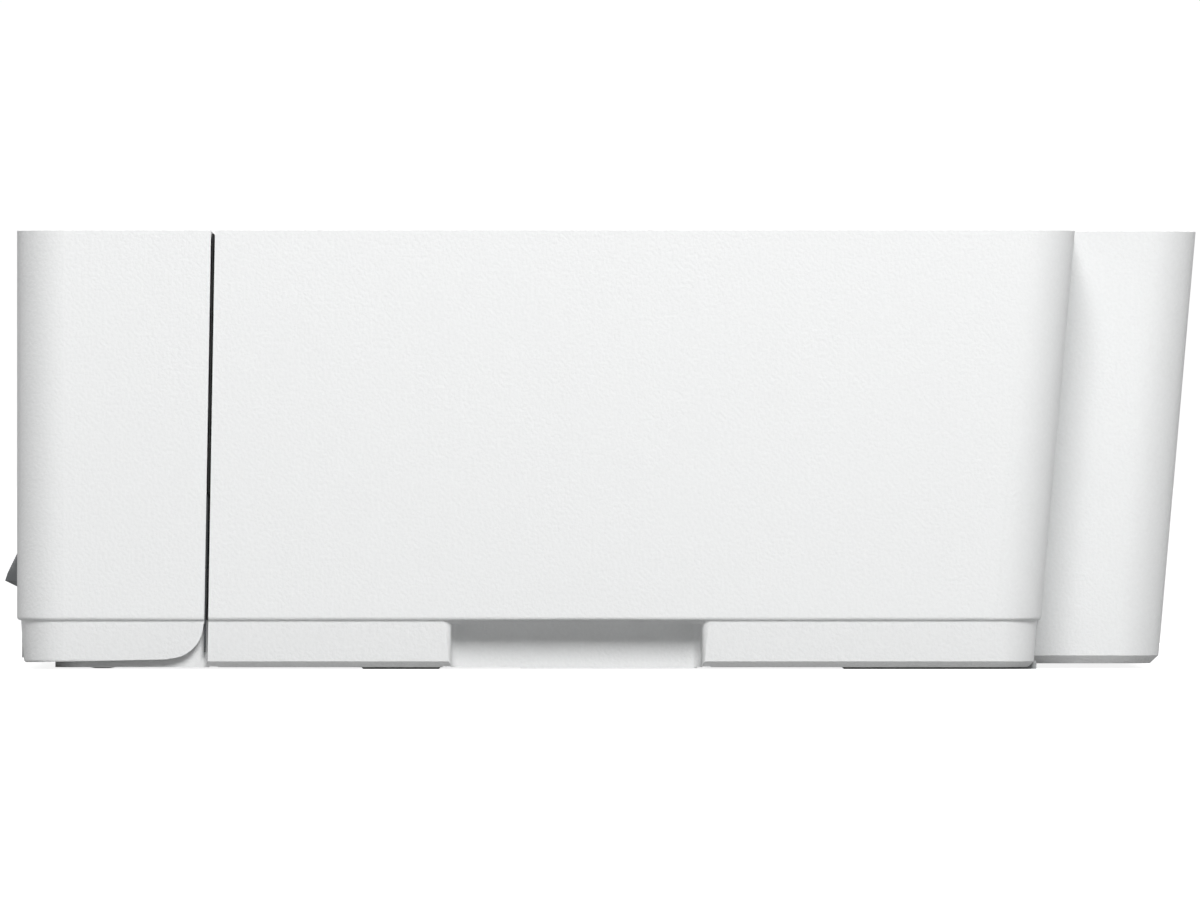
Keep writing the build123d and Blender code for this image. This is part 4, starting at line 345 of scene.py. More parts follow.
class StageSettings(bpy.types.PropertyGroup):
    """Floor, light and camera."""

    lens: bpy.props.FloatProperty(
        name="Lens", description="Focal length of the camera", default=1250.0,
        min=200.0, max=5000.0, unit="CAMERA")
    view_width: bpy.props.FloatProperty(
        name="View width", description="Width that the camera takes in at the near side",
        default=0.36, min=0.1, max=2.0, unit="LENGTH")
    lead: bpy.props.FloatProperty(
        name="Camera lead", description="How far the camera stands towards the printer's front",
        default=0.055, min=0.0, max=1.0, unit="LENGTH")
    surround: bpy.props.FloatProperty(
        name="Surrounding light", description="Strength of the even light of the studio",
        default=0.23, min=0.0, max=5.0)
    key: bpy.props.FloatProperty(
        name="Key light", description="Power of the main softbox at the printer's right",
        default=21.8, min=0.0, max=1000.0, unit="POWER")
    front_back: bpy.props.FloatProperty(
        name="Front and back lights",
        description="Power of each softbox before and behind the printer",
        default=4.8, min=0.0, max=1000.0, unit="POWER")
    overhead: bpy.props.FloatProperty(
        name="Overhead light", description="Strength of the light straight from above",
        default=0.3, min=0.0, max=10.0)


# ---------------------------------------------------------------- housings

class INKJET_OT_white_housings(bpy.types.Operator):
    """Give the white housings their moulded ABS finish"""

    bl_idname = "inkjet.white_housings"
    bl_label = "White housings"

    def execute(self, context):
        settings = context.scene.inkjet_housing
        # ABS from a spark-eroded mould: an even, slightly pebbled matt white. The real grain is
        # about 0.3 mm and is drawn coarser so that it shows
        white = Finish("white ABS, grained mould", settings.white, roughness=0.5, mottle=0.02,
                       grain=settings.grain / MM, relief=settings.relief / MM)
        names = ("front_cover", "main_shell", "base_tray", "rear_cover", "lid_cover", "paper_tray")
        paint(white.close(Specular_IOR_Level=0.4), *names)
        soften_edges(settings.rounding / MM, *names)
        return {"FINISHED"}


class INKJET_OT_dark_trim(bpy.types.Operator):
    """Give the dark frame, trays, control panel and seam their finishes"""

    bl_idname = "inkjet.dark_trim"
    bl_label = "Dark trim"

    def execute(self, context):
        settings = context.scene.inkjet_housing
        # Grained ABS coloured through: a cool slate that catches a soft light on its edges
        slate = Finish("slate ABS, grained mould", settings.slate, roughness=0.45, relief=0.012)
        paint(slate.close(), "output_housing", "output_tray", "tray_extender", "control_panel")
        # Impact polystyrene of the inner frame: near black, dull, hardly grained
        black = Finish("black polystyrene, moulded", "#0C0C0D", roughness=0.6, grain=0.5,
                       relief=0.008)
        paint(black.close(), "inner_frame", "scanner_base", "scanner_bezel")
        # The thin trim in the seam: a dark grey a little lighter than the frame behind it
        trim = Finish("dark grey ABS, moulded", "#37393C", roughness=0.55, grain=0.5, relief=0.006)
        paint(trim.close(), "seam_trim")
        # Clear acrylic with a frosted face: a milky, cool white strip
        light_guide = Finish("frosted acrylic, moulded", "#DCE9EE", roughness=0.35, grain=0.3,
                             relief=0.004, mottle=0.02)
        paint(light_guide.close(Transmission_Weight=0.35), "light_strip")
        soften_edges(0.3, "tray_extender", "output_tray", "control_panel")
        soften_edges(0.15, "inner_frame", "scanner_bezel")
        return {"FINISHED"}


class INKJET_OT_feet(bpy.types.Operator):
    """Give the feet their moulded rubber"""

    bl_idname = "inkjet.feet"
    bl_label = "Feet"

    def execute(self, context):
        # Thermoplastic rubber: a dull, slightly dusty pale grey with a soft grain
        rubber = Finish("grey rubber, moulded", "#C6C8C9", roughness=0.8, grain=0.8, relief=0.02,
                        mottle=0.08)
        paint(rubber.close(), "front_feet", "rear_feet")
        return {"FINISHED"}


# ---------------------------------------------------------------- scanner

class INKJET_OT_scanner(bpy.types.Operator):
    """Finish the scanner's glass, bar and rods, and lay the foam pad under the lid"""

    bl_idname = "inkjet.scanner"
    bl_label = "Scanner"

    def execute(self, context):
        # Float glass: clear, faintly green, with the long low waves of its bath
        glass = Finish("float glass, polished", "#F2FAF7", roughness=0.03, grain=30.0,
                       relief=0.002, mottle=0.01)
        paint(glass.close(Transmission_Weight=1.0, IOR=1.52), "scanner_glass")
        # Glass-filled plastic trough: dull black, with a pale glossy lens strip let into its top
        low, high = box_mm("scan_bar")
        middle = (low.x + high.x) / 2
        half_strip, strip_depth = 4, 2.5
        bar = Finish("black glass-filled nylon, moulded", "#151517", roughness=0.55, grain=0.7,
                     relief=0.012)
        strip = bar.inside(X=(middle - half_strip, middle + half_strip),
                           Z=(high.z - strip_depth, None))
        paint(bar.zone(strip, "#C9D2D4", roughness=0.2).close(), "scan_bar")
        # Centreless-ground steel: bright, with fine rings round the rod
        rod = Finish("steel rod, centreless ground", "#D4D7D9", roughness=0.26, grain=0.25,
                     relief=0.001, metallic=1.0, stretch=(1, 0.05, 0.05))
        paint(rod.close(), "scan_rod", "guide_rod")
        # White vinyl film bonded on polyurethane foam: smooth, with a faint orange-peel skin
        skin = Finish("white vinyl film on foam", "#F0F0EE", roughness=0.6, grain=2.5, relief=0.03,
                      mottle=0.02).close()
        low, high = box_mm("lid_pad")
        crown = context.scene.inkjet_pieces.pad_crown / MM
        corner_radius = 3.0
        # The foam rounds over at its edge and swells towards the middle of its underside
        edge = ((1.2, high.z), (0.3, high.z - 0.25), (0.0, high.z - 0.8), (0.15, high.z - 1.3))
        underside = ((0.8, low.z + crown + 0.2), (2.0, low.z + crown), (12.0, low.z + crown / 2),
                     (30.0, low.z + crown / 5), (60.0, low.z))
        shape = bmesh.new()
        add_plate(shape, (low.x, low.y), (high.x, high.y), corner_radius, edge + underside)
        pad = add_piece("foam_pad", shape, skin, "lid")
        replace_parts(smooth(pad, 50), "lid_pad")
        return {"FINISHED"}


class INKJET_OT_glass_marks(bpy.types.Operator):
    """Print the corner arrow and the edge scale on the bezel round the glass"""

    bl_idname = "inkjet.glass_marks"
    bl_label = "Glass marks"

    def execute(self, context):
        # Pad-printed white ink: flat, opaque, slightly raised on the black bezel
        ink = Finish("white ink, pad printed", "#E9ECEC", roughness=0.5, grain=0.3, relief=0.002,
                     mottle=0.03).close()
        glass_low, glass_high = box_mm("scanner_glass")
        pad_gap, sunk, raised = 0.1, 0.02, 0.05
        bezel_top = box_mm("lid_pad")[0].z - pad_gap
        low, high = bezel_top - sunk, bezel_top + raised
        # The bezel covers 3 mm of the glass, and the marks stand 2.5 mm out from its opening
        x, y = glass_low.x + 0.5, glass_high.y - 0.5
        arrow = ((0, 0), (-7, 2), (-2, 7))
        shape = bmesh.new()
        skin_rings(shape, [[(x + along, y + up, height) for along, up in arrow]
                           for height in (low, high)])
        # One mark for each centimetre from the opening's edge, and every fifth is longer
        start, spacing, width, count = x + 2.5, 10, 0.4, 28
        for number in range(1, count + 1):
            place = start + spacing * number
            length = 4.0 if number % 5 == 0 else 2.0
            add_stroke(shape, [(place, y), (place, y + length)], width, low, high)
        add_piece("glass_scale", shape, ink, "scanner_unit")
        return {"FINISHED"}


# ---------------------------------------------------------------- controls

BUTTONS = ("button_1", "button_2", "button_3", "button_4")
# The strokes of each button's symbol, in millimetres from the button's middle
SYMBOLS = (
    # On and off: a broken ring with a bar in the gap
    (arc(2.4, 120, 420, 20), [(0, 0.6), (0, 3.1)]),
    # Copy: two sheets, one behind the other
    ([(-2.2, -2.4), (0.9, -2.4), (0.9, 1.3), (-2.2, 1.3), (-2.2, -2.4)],
     [(-0.7, 2.6), (2.4, 2.6), (2.4, -1.0)]),
    # Scan: a sheet's corner marks round a bar
    (*([(2.6 * x, 1.4 * y), (2.6 * x, 2.5 * y), (1.4 * x, 2.5 * y)]
       for x, y in ((-1, 1), (1, 1), (-1, -1), (1, -1))),
     [(-2.2, 0), (2.2, 0)]),
    # Stop: a cross
    ([(-2.0, -2.0), (2.0, 2.0)], [(-2.0, 2.0), (2.0, -2.0)]))


def button_middles():
    """Middle and top of each button, from left to right."""
    for button in BUTTONS:
        low, high = box_mm(button)
        yield (low.x + high.x) / 2, (low.y + high.y) / 2, high.z


class INKJET_OT_buttons(bpy.types.Operator):
    """Finish the push buttons and print a plain symbol on each"""

    bl_idname = "inkjet.buttons"
    bl_label = "Buttons"

    def execute(self, context):
        width = context.scene.inkjet_pieces.print_width / MM
        sunk, raised = 0.02, 0.06
        # Satin painted ABS keys: light grey with a soft, even sheen
        key = Finish("light grey ABS, satin", "#B4B8BB", roughness=0.38, grain=0.25, relief=0.003,
                     mottle=0.02)
        paint(key.close(), *BUTTONS)
        soften_edges(0.2, *BUTTONS)
        # Screen-printed ink in dark grey, a little duller than the key under it
        ink = Finish("dark ink, screen printed", "#2B2E31", roughness=0.55, grain=0.3,
                     relief=0.002, mottle=0.03).close()
        for number, ((x, y, top), strokes) in enumerate(zip(button_middles(), SYMBOLS), start=1):
            shape = bmesh.new()
            for points in strokes:
                add_stroke(shape, [(x + along, y + up) for along, up in points], width,
                           top - sunk, top + raised)
            add_piece(f"symbol_{number}", shape, ink, f"button_{number}")
        return {"FINISHED"}


class INKJET_OT_indicators(bpy.types.Operator):
    """Set a small indicator lens in the control panel behind each button"""

    bl_idname = "inkjet.indicators"
    bl_label = "Indicators"

    def execute(self, context):
        # Tinted polycarbonate: glossy, pale green, slightly see-through
        lens = Finish("tinted polycarbonate, moulded", "#CFE3D6", roughness=0.12, grain=1.0,
                      relief=0.001, mottle=0.02).close(Transmission_Weight=0.4)
        panel_top = box_mm("control_panel")[1].z
        half_length, near, far, corner_radius = 2.0, 9.6, 10.8, 0.55
        for number, (x, y, _) in enumerate(button_middles(), start=1):
            shape = bmesh.new()
            add_plate(shape, (x - half_length, y + near), (x + half_length, y + far),
                      corner_radius, ((0.0, panel_top - 0.02), (0.05, panel_top + 0.03),
                                      (0.25, panel_top + 0.07)))
            smooth(add_piece(f"indicator_{number}", shape, lens, "printer"))
        return {"FINISHED"}


# ---------------------------------------------------------------- carriage and its drive

class INKJET_OT_carriage(bpy.types.Operator):
    """Finish the carriage, its cartridges and latches, and label the cartridges"""

    bl_idname = "inkjet.carriage"
    bl_label = "Carriage"

    def execute(self, context):
        # Carriage and platen in black styrene: dull, with faint flow marks
        black = Finish("black styrene, moulded", "#1B1C1E", roughness=0.55, grain=0.9,
                       relief=0.012, mottle=0.08)
        paint(black.close(), "carriage", "platen")
        soften_edges(0.25, "carriage")
        # Latches in acetal: a waxy grey-green
        latch = Finish("grey acetal, moulded", "#7D8A88", roughness=0.35, grain=0.8, relief=0.006,
                       mottle=0.03)
        paint(latch.close(), "black_latch", "colour_latch")
        soften_edges(0.2, "black_latch", "colour_latch")
        # Coated paper label: smooth, off-white, with spots of printed colour
        paper = Finish("coated paper, printed", "#ECEBE6", roughness=0.45, grain=1.2,
                       relief=0.003, mottle=0.02).close()
        plate_thickness, label_inset, half_width, half_length = 1.2, 14.0, 15, 9
        label_corner, spot_spacing, spot_radius = 1.5, 8.0, 2.6
        for node, inks in (
                ("black_cartridge", {"black": "#17181A"}),
                ("colour_cartridge", {"cyan": "#1FA3D8", "magenta": "#D6398C",
                                      "yellow": "#F2D21F"})):
            low, high = box_mm(node)
            # Polypropylene tank: black and satin, with a gold-plated nozzle plate below
            tank = Finish(f"polypropylene, moulded, {node}", "#D9A441", roughness=0.3, grain=0.4,
                          relief=0.002, metallic=1.0)
            tank.zone(tank.inside(Z=(low.z + plate_thickness, None)), "#232427", roughness=0.32)
            paint(tank.close(), node)
            soften_edges(0.3, node)
            x, y = (low.x + high.x) / 2, high.y - label_inset
            shape = bmesh.new()
            add_plate(shape, (x - half_width, y - half_length), (x + half_width, y + half_length),
                      label_corner, ((0.0, high.z - 0.01), (0.0, high.z + 0.08),
                                     (0.05, high.z + 0.1)))
            add_piece(f"label_{node}", shape, paper, "carriage")
            for number, (hue, code) in enumerate(inks.items()):
                # Offset ink: an even, slightly glossy film of colour on the label
                ink = Finish(f"{hue} offset ink, printed", code, roughness=0.4, grain=0.3,
                             relief=0.001, mottle=0.04).close()
                spot_x = x + (number - (len(inks) - 1) / 2) * spot_spacing
                shape = bmesh.new()
                add_disc(shape, (spot_x, y), (
                    (spot_radius, high.z + 0.09), (spot_radius, high.z + 0.13),
                    (spot_radius - 0.2, high.z + 0.15)))
                add_piece(f"spot_{node}_{number + 1}", shape, ink, "carriage")
        return {"FINISHED"}


class INKJET_OT_belt_drive(bpy.types.Operator):
    """Finish the belt, the wheels and the encoder strip, and add the belt's teeth"""

    bl_idname = "inkjet.belt_drive"
    bl_label = "Belt drive"

    def execute(self, context):
        # Chloroprene belt: matt black with a slight bloom
        rubber = Finish("black chloroprene, moulded", "#161617", roughness=0.75, grain=0.5,
                        mottle=0.1).close()
        paint(rubber, "carriage_belt")
        low, high = box_mm("carriage_belt")
        pitch = context.scene.inkjet_pieces.tooth_pitch / MM
        belt_thickness, wheel_gap, side_gap = 1.0, 12.0, 0.2
        tooth = ((0.6, -0.1), (0.35, 0.5))      # half width and height of its root and its tip
        run = high.x - (high.z - low.z) / 2 - wheel_gap
        count = int(2 * run / pitch)
        near, far = low.y + side_gap, high.y - side_gap
        shape = bmesh.new()
        for number in range(count):
            x = (number - (count - 1) / 2) * pitch
            for face, inward in ((high.z - belt_thickness, -1), (low.z + belt_thickness, 1)):
                skin_rings(shape, [[
                    (x - half, near, face + inward * depth),
                    (x + half, near, face + inward * depth),
                    (x + half, far, face + inward * depth),
                    (x - half, far, face + inward * depth)] for half, depth in tooth])
        add_piece("belt_teeth", shape, rubber, "printer")
        # Acetal wheels: creamy white, slightly waxy
        acetal = Finish("natural acetal, moulded", "#E4E1D4", roughness=0.32, grain=0.8,
                        relief=0.004, mottle=0.03)
        paint(acetal.close(), "belt_pulley", "belt_idler", "idler_gear", "guide_pinion")
        # Polyester film: glossy grey with fine dark lines, drawn at 1.2 mm so that they show
        film = Finish("polyester film, printed lines", "#C9CBC6", roughness=0.15, grain=0.4,
                      relief=0.001, mottle=0.02)
        lines = film.stripes(spacing=1.2, share=0.5)
        paint(film.zone(lines, "#3C3E40", roughness=0.3).close(), "encoder_strip")
        return {"FINISHED"}


class INKJET_OT_motors(bpy.types.Operator):
    """Finish the two motors and the pinion"""

    bl_idname = "inkjet.motors"
    bl_label = "Motors"

    def execute(self, context):
        # Drawn steel can, nickel plated: cool and softly streaked along its length, with a
        # black end cap
        carriage_cap, feed_cap = 2.2, 1.5
        end = box_mm("carriage_motor")[1].y - carriage_cap
        can = Finish("nickel plated steel, drawn", "#A9ABAD", roughness=0.3, grain=0.35,
                     relief=0.003, metallic=1.0, stretch=(1, 0.06, 1))
        can.zone(can.inside(Y=(end, None)), "#1A1A1B", roughness=0.5)
        paint(can.close(), "carriage_motor")
        end = box_mm("feed_motor")[1].x - feed_cap
        can = Finish("nickel plated steel, drawn, feed motor", "#A9ABAD", roughness=0.3,
                     grain=0.35, relief=0.003, metallic=1.0, stretch=(0.06, 1, 1))
        can.zone(can.inside(X=(end, None)), "#1A1A1B", roughness=0.5)
        paint(can.close(), "feed_motor")
        # Free-cutting brass, hobbed: warm, with fine turned rings
        brass = Finish("brass, hobbed", "#C9A45A", roughness=0.28, grain=0.2, relief=0.002,
                       metallic=1.0, stretch=(1, 0.1, 0.1))
        paint(brass.close(), "motor_pinion")
        return {"FINISHED"}


# ---------------------------------------------------------------- paper path

class INKJET_OT_rollers(bpy.types.Operator):
    """Finish the rollers: steel shafts, rubber tyres and acetal gears"""

    bl_idname = "inkjet.rollers"
    bl_label = "Rollers"

    def execute(self, context):
        # Ground rubber tyres, dull and dark, on a bright plated steel shaft. Two rollers have a
        # gear in creamy acetal at the left
        gear_width, shaft_gap = 5.5, 0.4
        for node, shaft, has_gear in (
                ("feed_roller", 4.0, True), ("eject_roller", 4.0, True),
                ("turn_roller", 4.0, False), ("pinch_rollers", 2.0, False),
                ("pick_roller", 3.0, False)):
            low, high = box_mm(node)
            middle = ((low.y + high.y) / 2, (low.z + high.z) / 2)
            roller = Finish(f"steel shaft and ground rubber, {node}", "#343537", roughness=0.8,
                            grain=0.3, relief=0.003, stretch=(1, 0.15, 0.15))
            if has_gear:
                roller.zone(roller.inside(X=(None, low.x + gear_width)), "#E4E1D4",
                            roughness=0.32)
            roller.zone(roller.core("Y", "Z", middle, shaft + shaft_gap), "#B3B6B8",
                        roughness=0.25, metallic=1.0)
            paint(roller.close(), node)
        # Stainless star wheels on a plain steel wire: bright, finely etched
        star = Finish("stainless steel, etched", "#C4C7C9", roughness=0.2, grain=0.2,
                      relief=0.002, metallic=1.0)
        paint(star.close(), "star_wheels")
        return {"FINISHED"}


class INKJET_OT_paper_path(bpy.types.Operator):
    """Finish the guides, the pick arm and the service station"""

    bl_idname = "inkjet.paper_path"
    bl_label = "Paper path"

    def execute(self, context):
        # Guides that the paper slides on: smooth, slightly polished dark grey
        guide = Finish("dark grey ABS, polished mould", "#3E4144", roughness=0.35, grain=0.9,
                       relief=0.004)
        paint(guide.close(), "paper_guide", "turn_guide", "pick_arm")
        # Sliding guides in the tray: mid grey with a satin grain
        slider = Finish("mid grey ABS, satin", "#75797D", roughness=0.42, relief=0.008)
        sliders = ("right_width_guide", "left_width_guide", "length_guide")
        paint(slider.close(), *sliders)
        soften_edges(0.2, *sliders)
        # Styrene tub with silicone caps at its top: dull black, and a softer grey above
        cap_height = 1.6
        tub = Finish("black styrene and silicone, moulded", "#1D1E20", roughness=0.55, grain=0.8)
        caps = tub.inside(Z=(box_mm("service_station")[1].z - cap_height, None))
        paint(tub.zone(caps, "#6C6F70", roughness=0.7).close(), "service_station")
        return {"FINISHED"}


# ---------------------------------------------------------------- chassis and electrics

class INKJET_OT_chassis(bpy.types.Operator):
    """Finish the folded steel chassis"""

    bl_idname = "inkjet.chassis"
    bl_label = "Chassis"

    def execute(self, context):
        # Electro-zinc plated sheet: cool grey, faintly streaked along the rolling direction
        zinc = Finish("zinc plated sheet steel, folded", "#CDD2D5", roughness=0.5, grain=0.5,
                      relief=0.004, metallic=1.0, mottle=0.08, stretch=(0.05, 1, 1))
        paint(zinc.close(), "chassis")
        return {"FINISHED"}


class INKJET_OT_electrics(bpy.types.Operator):
    """Finish the boards, the power supply and the rear sockets"""

    bl_idname = "inkjet.electrics"
    bl_label = "Electrics"

    def execute(self, context):
        track_spacing, chip_height, capacitors_from, lid = 7.0, 2.5, 125.0, 0.3
        for node in ("main_board", "button_board"):
            # Glass-epoxy board under solder mask: semi-gloss green with darker tracks, which are
            # drawn far coarser than the real ones so that they show
            low, high = box_mm(node)
            top = low.z + BOARD_THICKNESS + 0.05
            board = Finish(f"solder mask on glass epoxy, {node}", "#3C8A60", roughness=0.4,
                           grain=0.5, relief=0.006)
            tracks = board.add("ShaderNodeTexBrick", {
                "Vector": board.place, "Scale": 1 / (track_spacing * MM), "Mortar Size": 0.06,
                "Color1": (1, 1, 1, 1), "Color2": (1, 1, 1, 1), "Mortar": (0, 0, 0, 1)})
            between = board.add("ShaderNodeMath", {0: tracks.outputs["Fac"], 1: 0.5},
                                operation="LESS_THAN")
            board.zone(between.outputs[0], "#2C7049", roughness=0.4)
            # Parts in black epoxy
            board.zone(board.inside(Z=(top, None)), "#1A1B1D", roughness=0.5)
            if node == "main_board":
                # Tall connectors in cream nylon, sleeved capacitors and their bright tin lids
                board.zone(board.inside(Z=(top + chip_height, None)), "#D8D6CB", roughness=0.45)
                board.zone(board.inside(X=(low.x + capacitors_from, None), Z=(top + 0.5, None)),
                           "#1E2430", roughness=0.35)
                board.zone(board.inside(Z=(high.z - lid, None)), "#B9BCBE", roughness=0.3,
                           metallic=1.0)
            paint(board.close(), node)
        # Flame-retardant polycarbonate case: black, coarse grained
        case = Finish("black polycarbonate, coarse grain", "#202123", roughness=0.6, grain=1.1,
                      relief=0.03)
        paint(case.close(), "power_supply")
        pin_offset, pin_radius, half_width, half_height = 4.3, 1.4, 3.2, 2.1
        for node, code in (("power_inlet", "#B9BCBE"), ("usb_port", "#D9B45A")):
            # Nylon socket body, black and satin, with bright plated contacts
            low, high = box_mm(node)
            x, z = (low.x + high.x) / 2, (low.z + high.z) / 2
            socket = Finish(f"black nylon, moulded, {node}", "#141416", roughness=0.5,
                            relief=0.008)
            if node == "power_inlet":
                contacts = [socket.core("X", "Z", (x + offset, z), pin_radius)
                            for offset in (-pin_offset, pin_offset)]
            else:
                contacts = [socket.overlap(
                    socket.inside(X=(x - half_width, x + half_width),
                                  Z=(z - half_height, z + half_height)),
                    socket.stripes(spacing=2.0, share=0.4))]
            for contact in contacts:
                socket.zone(contact, code, roughness=0.25, metallic=1.0)
            paint(socket.close(), node)
        return {"FINISHED"}


def add_screw_head(shape, x, y, base, radius):
    """Add a domed head with a cross recess, whose rim stands on base."""
    steps, dome, slope = 12, 1.7, 0.75
    recess_depth, recess_reach, sunk = 0.9, 0.62, 0.01
    middle = steps // 2
    grid = []
    for row in range(steps + 1):
        grid.append([])
        for column in range(steps + 1):
            # A square grid laid on a disc, so that the rim is round and the cross is straight
            u, v = column / middle - 1, row / middle - 1
            disc = Vector((u * math.sqrt(1 - v * v / 2), v * math.sqrt(1 - u * u / 2)))
            height = dome * math.sqrt(max(0.0, 1 - slope * disc.length * disc.length))
            if disc.length < recess_reach and min(abs(column - middle), abs(row - middle)) <= 1:
                height -= recess_depth
            grid[row].append(shape.verts.new((
                x + radius * disc.x, y + radius * disc.y, base + height)))
    for lower, upper in zip(grid, grid[1:]):
        for column in range(steps):
            shape.faces.new((lower[column], lower[column + 1],
                             upper[column + 1], upper[column]))
    rim = [edge for edge in shape.edges if edge.is_boundary]
    for item in bmesh.ops.extrude_edge_only(shape, edges=rim)["geom"]:
        if isinstance(item, bmesh.types.BMVert):
            item.co.z = base - sunk
    bmesh.ops.contextual_create(shape, geom=[edge for edge in shape.edges if edge.is_boundary])


class INKJET_OT_screws(bpy.types.Operator):
    """Drive the cross-head screws that hold the main board"""

    bl_idname = "inkjet.screws"
    bl_label = "Screws"

    def execute(self, context):
        radius = context.scene.inkjet_pieces.screw_head / MM
        # Zinc plated and blue passivated: bright blue-grey with dark recesses
        zinc = Finish("zinc plated screw steel", "#B4B8BC", roughness=0.3, grain=0.3,
                      relief=0.004, metallic=1.0).close()
        low, high = box_mm("main_board")
        margin, rear_margin = 6, 14
        places = [(x, y) for x in (low.x + margin, high.x - margin)
                  for y in (low.y + margin, high.y - rear_margin)]
        for number, (x, y) in enumerate(places, start=1):
            shape = bmesh.new()
            add_screw_head(shape, x, y, low.z + BOARD_THICKNESS, radius)
            smooth(add_piece(f"screw_{number}", shape, zinc, "printer"))
        return {"FINISHED"}


# ---------------------------------------------------------------- stage

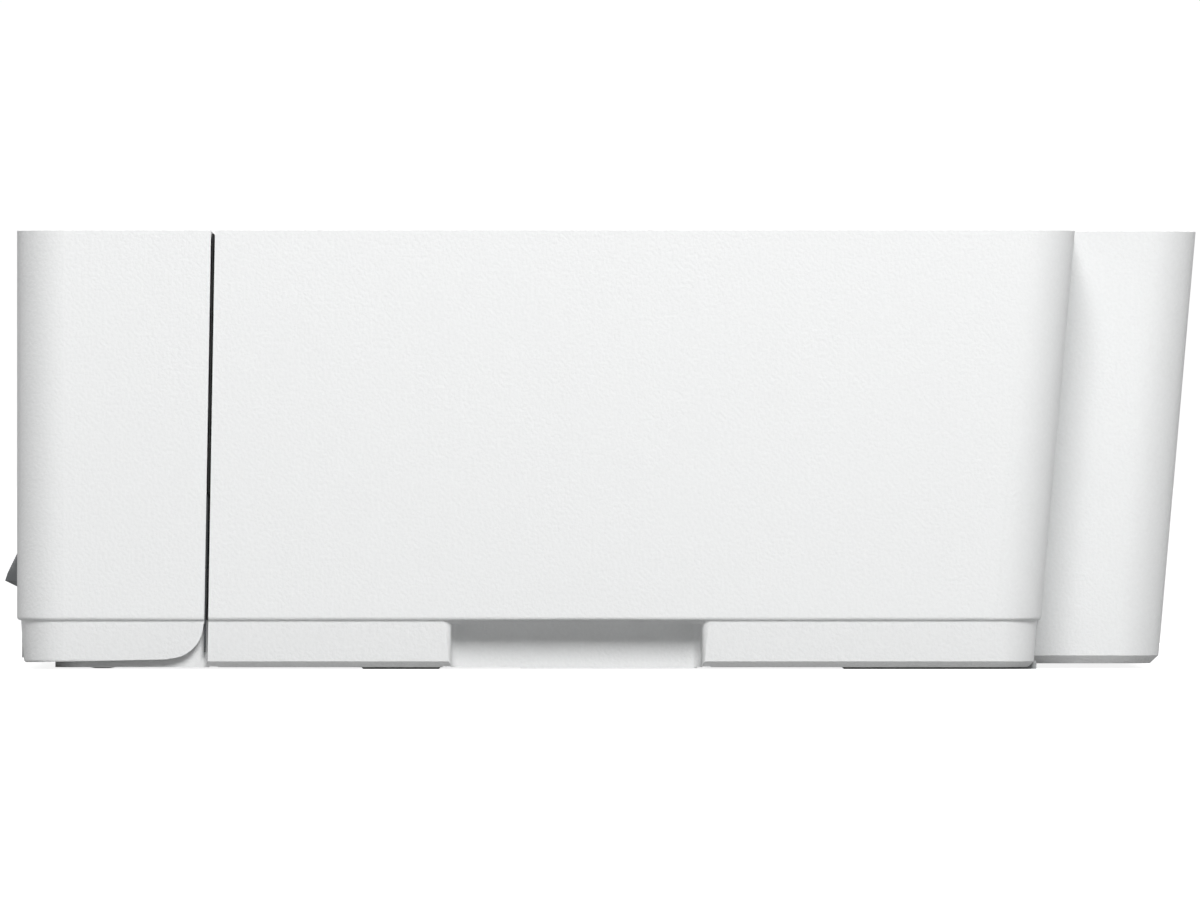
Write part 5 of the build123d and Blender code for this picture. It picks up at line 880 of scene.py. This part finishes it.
class INKJET_OT_stage(bpy.types.Operator):
    """Make the floor, the light and the camera"""

    bl_idname = "inkjet.stage"
    bl_label = "Stage"

    # Place and width of each softbox, the setting that gives its power, and its share of that
    SOFTBOXES = {
        "key": ((1.55, 0.14, 1.0), 0.6, "key", 1.0),
        "left": ((-1.3, 0.0, 0.6), 1.0, "key", 0.4),
        "front": ((-0.5, -1.3, 0.6), 1.0, "front_back", 1.0),
        "rear": ((-0.6, 1.25, 0.6), 1.0, "front_back", 1.0)}
    FLOOR_REACH = 60.0          # metres from the middle of the floor to its edge
    FLOOR_GLOW = 0.88           # light that the paper gives off towards the camera
    BACKDROP_WHITE = 1.02       # just past white, so that the backdrop is even

    def execute(self, context):
        settings = context.scene.inkjet_stage
        self.add_floor(context.scene)
        self.add_studio(context.scene, settings)
        self.add_lights(context.scene, settings)
        self.add_camera(context.scene, settings)
        context.scene.view_settings.view_transform = "Standard"
        return {"FINISHED"}

    def add_floor(self, scene):
        """Lay the floor under the printer."""
        # Seamless paper: flat white with a barely visible fibre, lit from behind as well, and
        # seen by the printer as a greyer table so that its undersides stay in shade
        paper = Finish("seamless backdrop paper", "#A8A8A8", roughness=0.9, grain=3.0,
                       mottle=0.01)
        seen = paper.add("ShaderNodeLightPath").outputs["Is Camera Ray"]
        paper.zone(seen, "#CFCFCF", roughness=0.9)
        glow = paper.add("ShaderNodeMath", {0: seen, 1: self.FLOOR_GLOW}, operation="MULTIPLY")
        mesh = bpy.data.meshes.new("floor")
        shape = bmesh.new()
        bmesh.ops.create_grid(shape, x_segments=8, y_segments=8, size=self.FLOOR_REACH)
        shape.to_mesh(mesh)
        shape.free()
        mesh.materials.append(paper.close(
            Specular_IOR_Level=0.0, Emission_Color=(1, 1, 1, 1),
            Emission_Strength=glow.outputs[0]))
        floor = bpy.data.objects.new("floor", mesh)
        floor.location.z = cad_low.z
        scene.collection.objects.link(floor)

    def add_studio(self, scene, settings):
        """Put even, soft surroundings behind a white backdrop."""
        world = bpy.data.worlds.new("studio")
        world.use_nodes = True
        tree = world.node_tree
        tree.nodes.clear()
        seen = add_node(tree, "ShaderNodeLightPath").outputs["Is Camera Ray"]
        strength = add_node(tree, "ShaderNodeMapRange", {
            "Value": seen, "To Min": settings.surround, "To Max": self.BACKDROP_WHITE})
        studio = add_node(tree, "ShaderNodeBackground", {
            "Color": (1, 1, 1, 1), "Strength": strength.outputs["Result"]})
        add_node(tree, "ShaderNodeOutputWorld", {"Surface": studio.outputs["Background"]})
        scene.world = world

    def add_lights(self, scene, settings):
        """Hang the softboxes round the printer and a broad light above it."""
        for name, (place, size, power, share) in self.SOFTBOXES.items():
            light = bpy.data.lights.new(name, "AREA")
            light.size = size
            light.energy = getattr(settings, power) * share
            lamp = bpy.data.objects.new(name, light)
            lamp.location = place
            lamp.rotation_euler = Vector(place).to_track_quat("Z", "Y").to_euler()
            lamp.visible_camera = False
            scene.collection.objects.link(lamp)
        light = bpy.data.lights.new("overhead", "SUN")
        light.energy = settings.overhead
        light.angle = math.radians(40)
        lamp = bpy.data.objects.new("overhead", light)
        lamp.location = (0, 0, 3)
        scene.collection.objects.link(lamp)

    def add_camera(self, scene, settings):
        """Stand the camera far off at the printer's right, a little towards its front."""
        camera = bpy.data.cameras.new("camera")
        camera.lens = settings.lens
        camera.sensor_width = 36.0
        camera.clip_start = 0.1
        camera.clip_end = 100.0
        stand = bpy.data.objects.new("camera", camera)
        distance = settings.view_width * settings.lens / camera.sensor_width
        stand.location = (cad_high.x + distance, -settings.lead, (cad_low.z + cad_high.z) / 2)
        stand.rotation_euler = (
            math.radians(90), 0, math.radians(90) - math.atan2(settings.lead, distance))
        scene.collection.objects.link(stand)
        scene.camera = stand


# ---------------------------------------------------------------- panel and registration

OPERATORS = (
    INKJET_OT_white_housings, INKJET_OT_dark_trim, INKJET_OT_feet, INKJET_OT_scanner,
    INKJET_OT_glass_marks, INKJET_OT_buttons, INKJET_OT_indicators, INKJET_OT_carriage,
    INKJET_OT_belt_drive, INKJET_OT_motors, INKJET_OT_rollers, INKJET_OT_paper_path,
    INKJET_OT_chassis, INKJET_OT_electrics, INKJET_OT_screws, INKJET_OT_stage)
SETTINGS = {"inkjet_housing": HousingSettings, "inkjet_pieces": PieceSettings,
            "inkjet_stage": StageSettings}


class INKJET_PT_panel(bpy.types.Panel):
    """Lists the printer's settings and pieces in the sidebar"""

    bl_label = "Inkjet printer"
    bl_idname = "INKJET_PT_panel"
    bl_space_type = "VIEW_3D"
    bl_region_type = "UI"
    bl_category = "Printer"

    def draw(self, context):
        for group, kind in SETTINGS.items():
            for name in kind.__annotations__:
                self.layout.prop(getattr(context.scene, group), name)
        for operator in OPERATORS:
            self.layout.operator(operator.bl_idname)


def register():
    """Register the settings, operators and panel, and hang the settings on the scene."""
    for kind in (*SETTINGS.values(), *OPERATORS, INKJET_PT_panel):
        bpy.utils.register_class(kind)
    for group, kind in SETTINGS.items():
        setattr(bpy.types.Scene, group, bpy.props.PointerProperty(type=kind))


def unregister():
    """Take away what register adds."""
    for group in SETTINGS:
        delattr(bpy.types.Scene, group)
    for kind in (INKJET_PT_panel, *reversed(OPERATORS), *SETTINGS.values()):
        bpy.utils.unregister_class(kind)


def main():
    """Register the add-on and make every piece."""
    register()
    for operator in OPERATORS:
        group, action = operator.bl_idname.split(".")
        getattr(getattr(bpy.ops, group), action)()


if __name__ == "__main__":
    main()
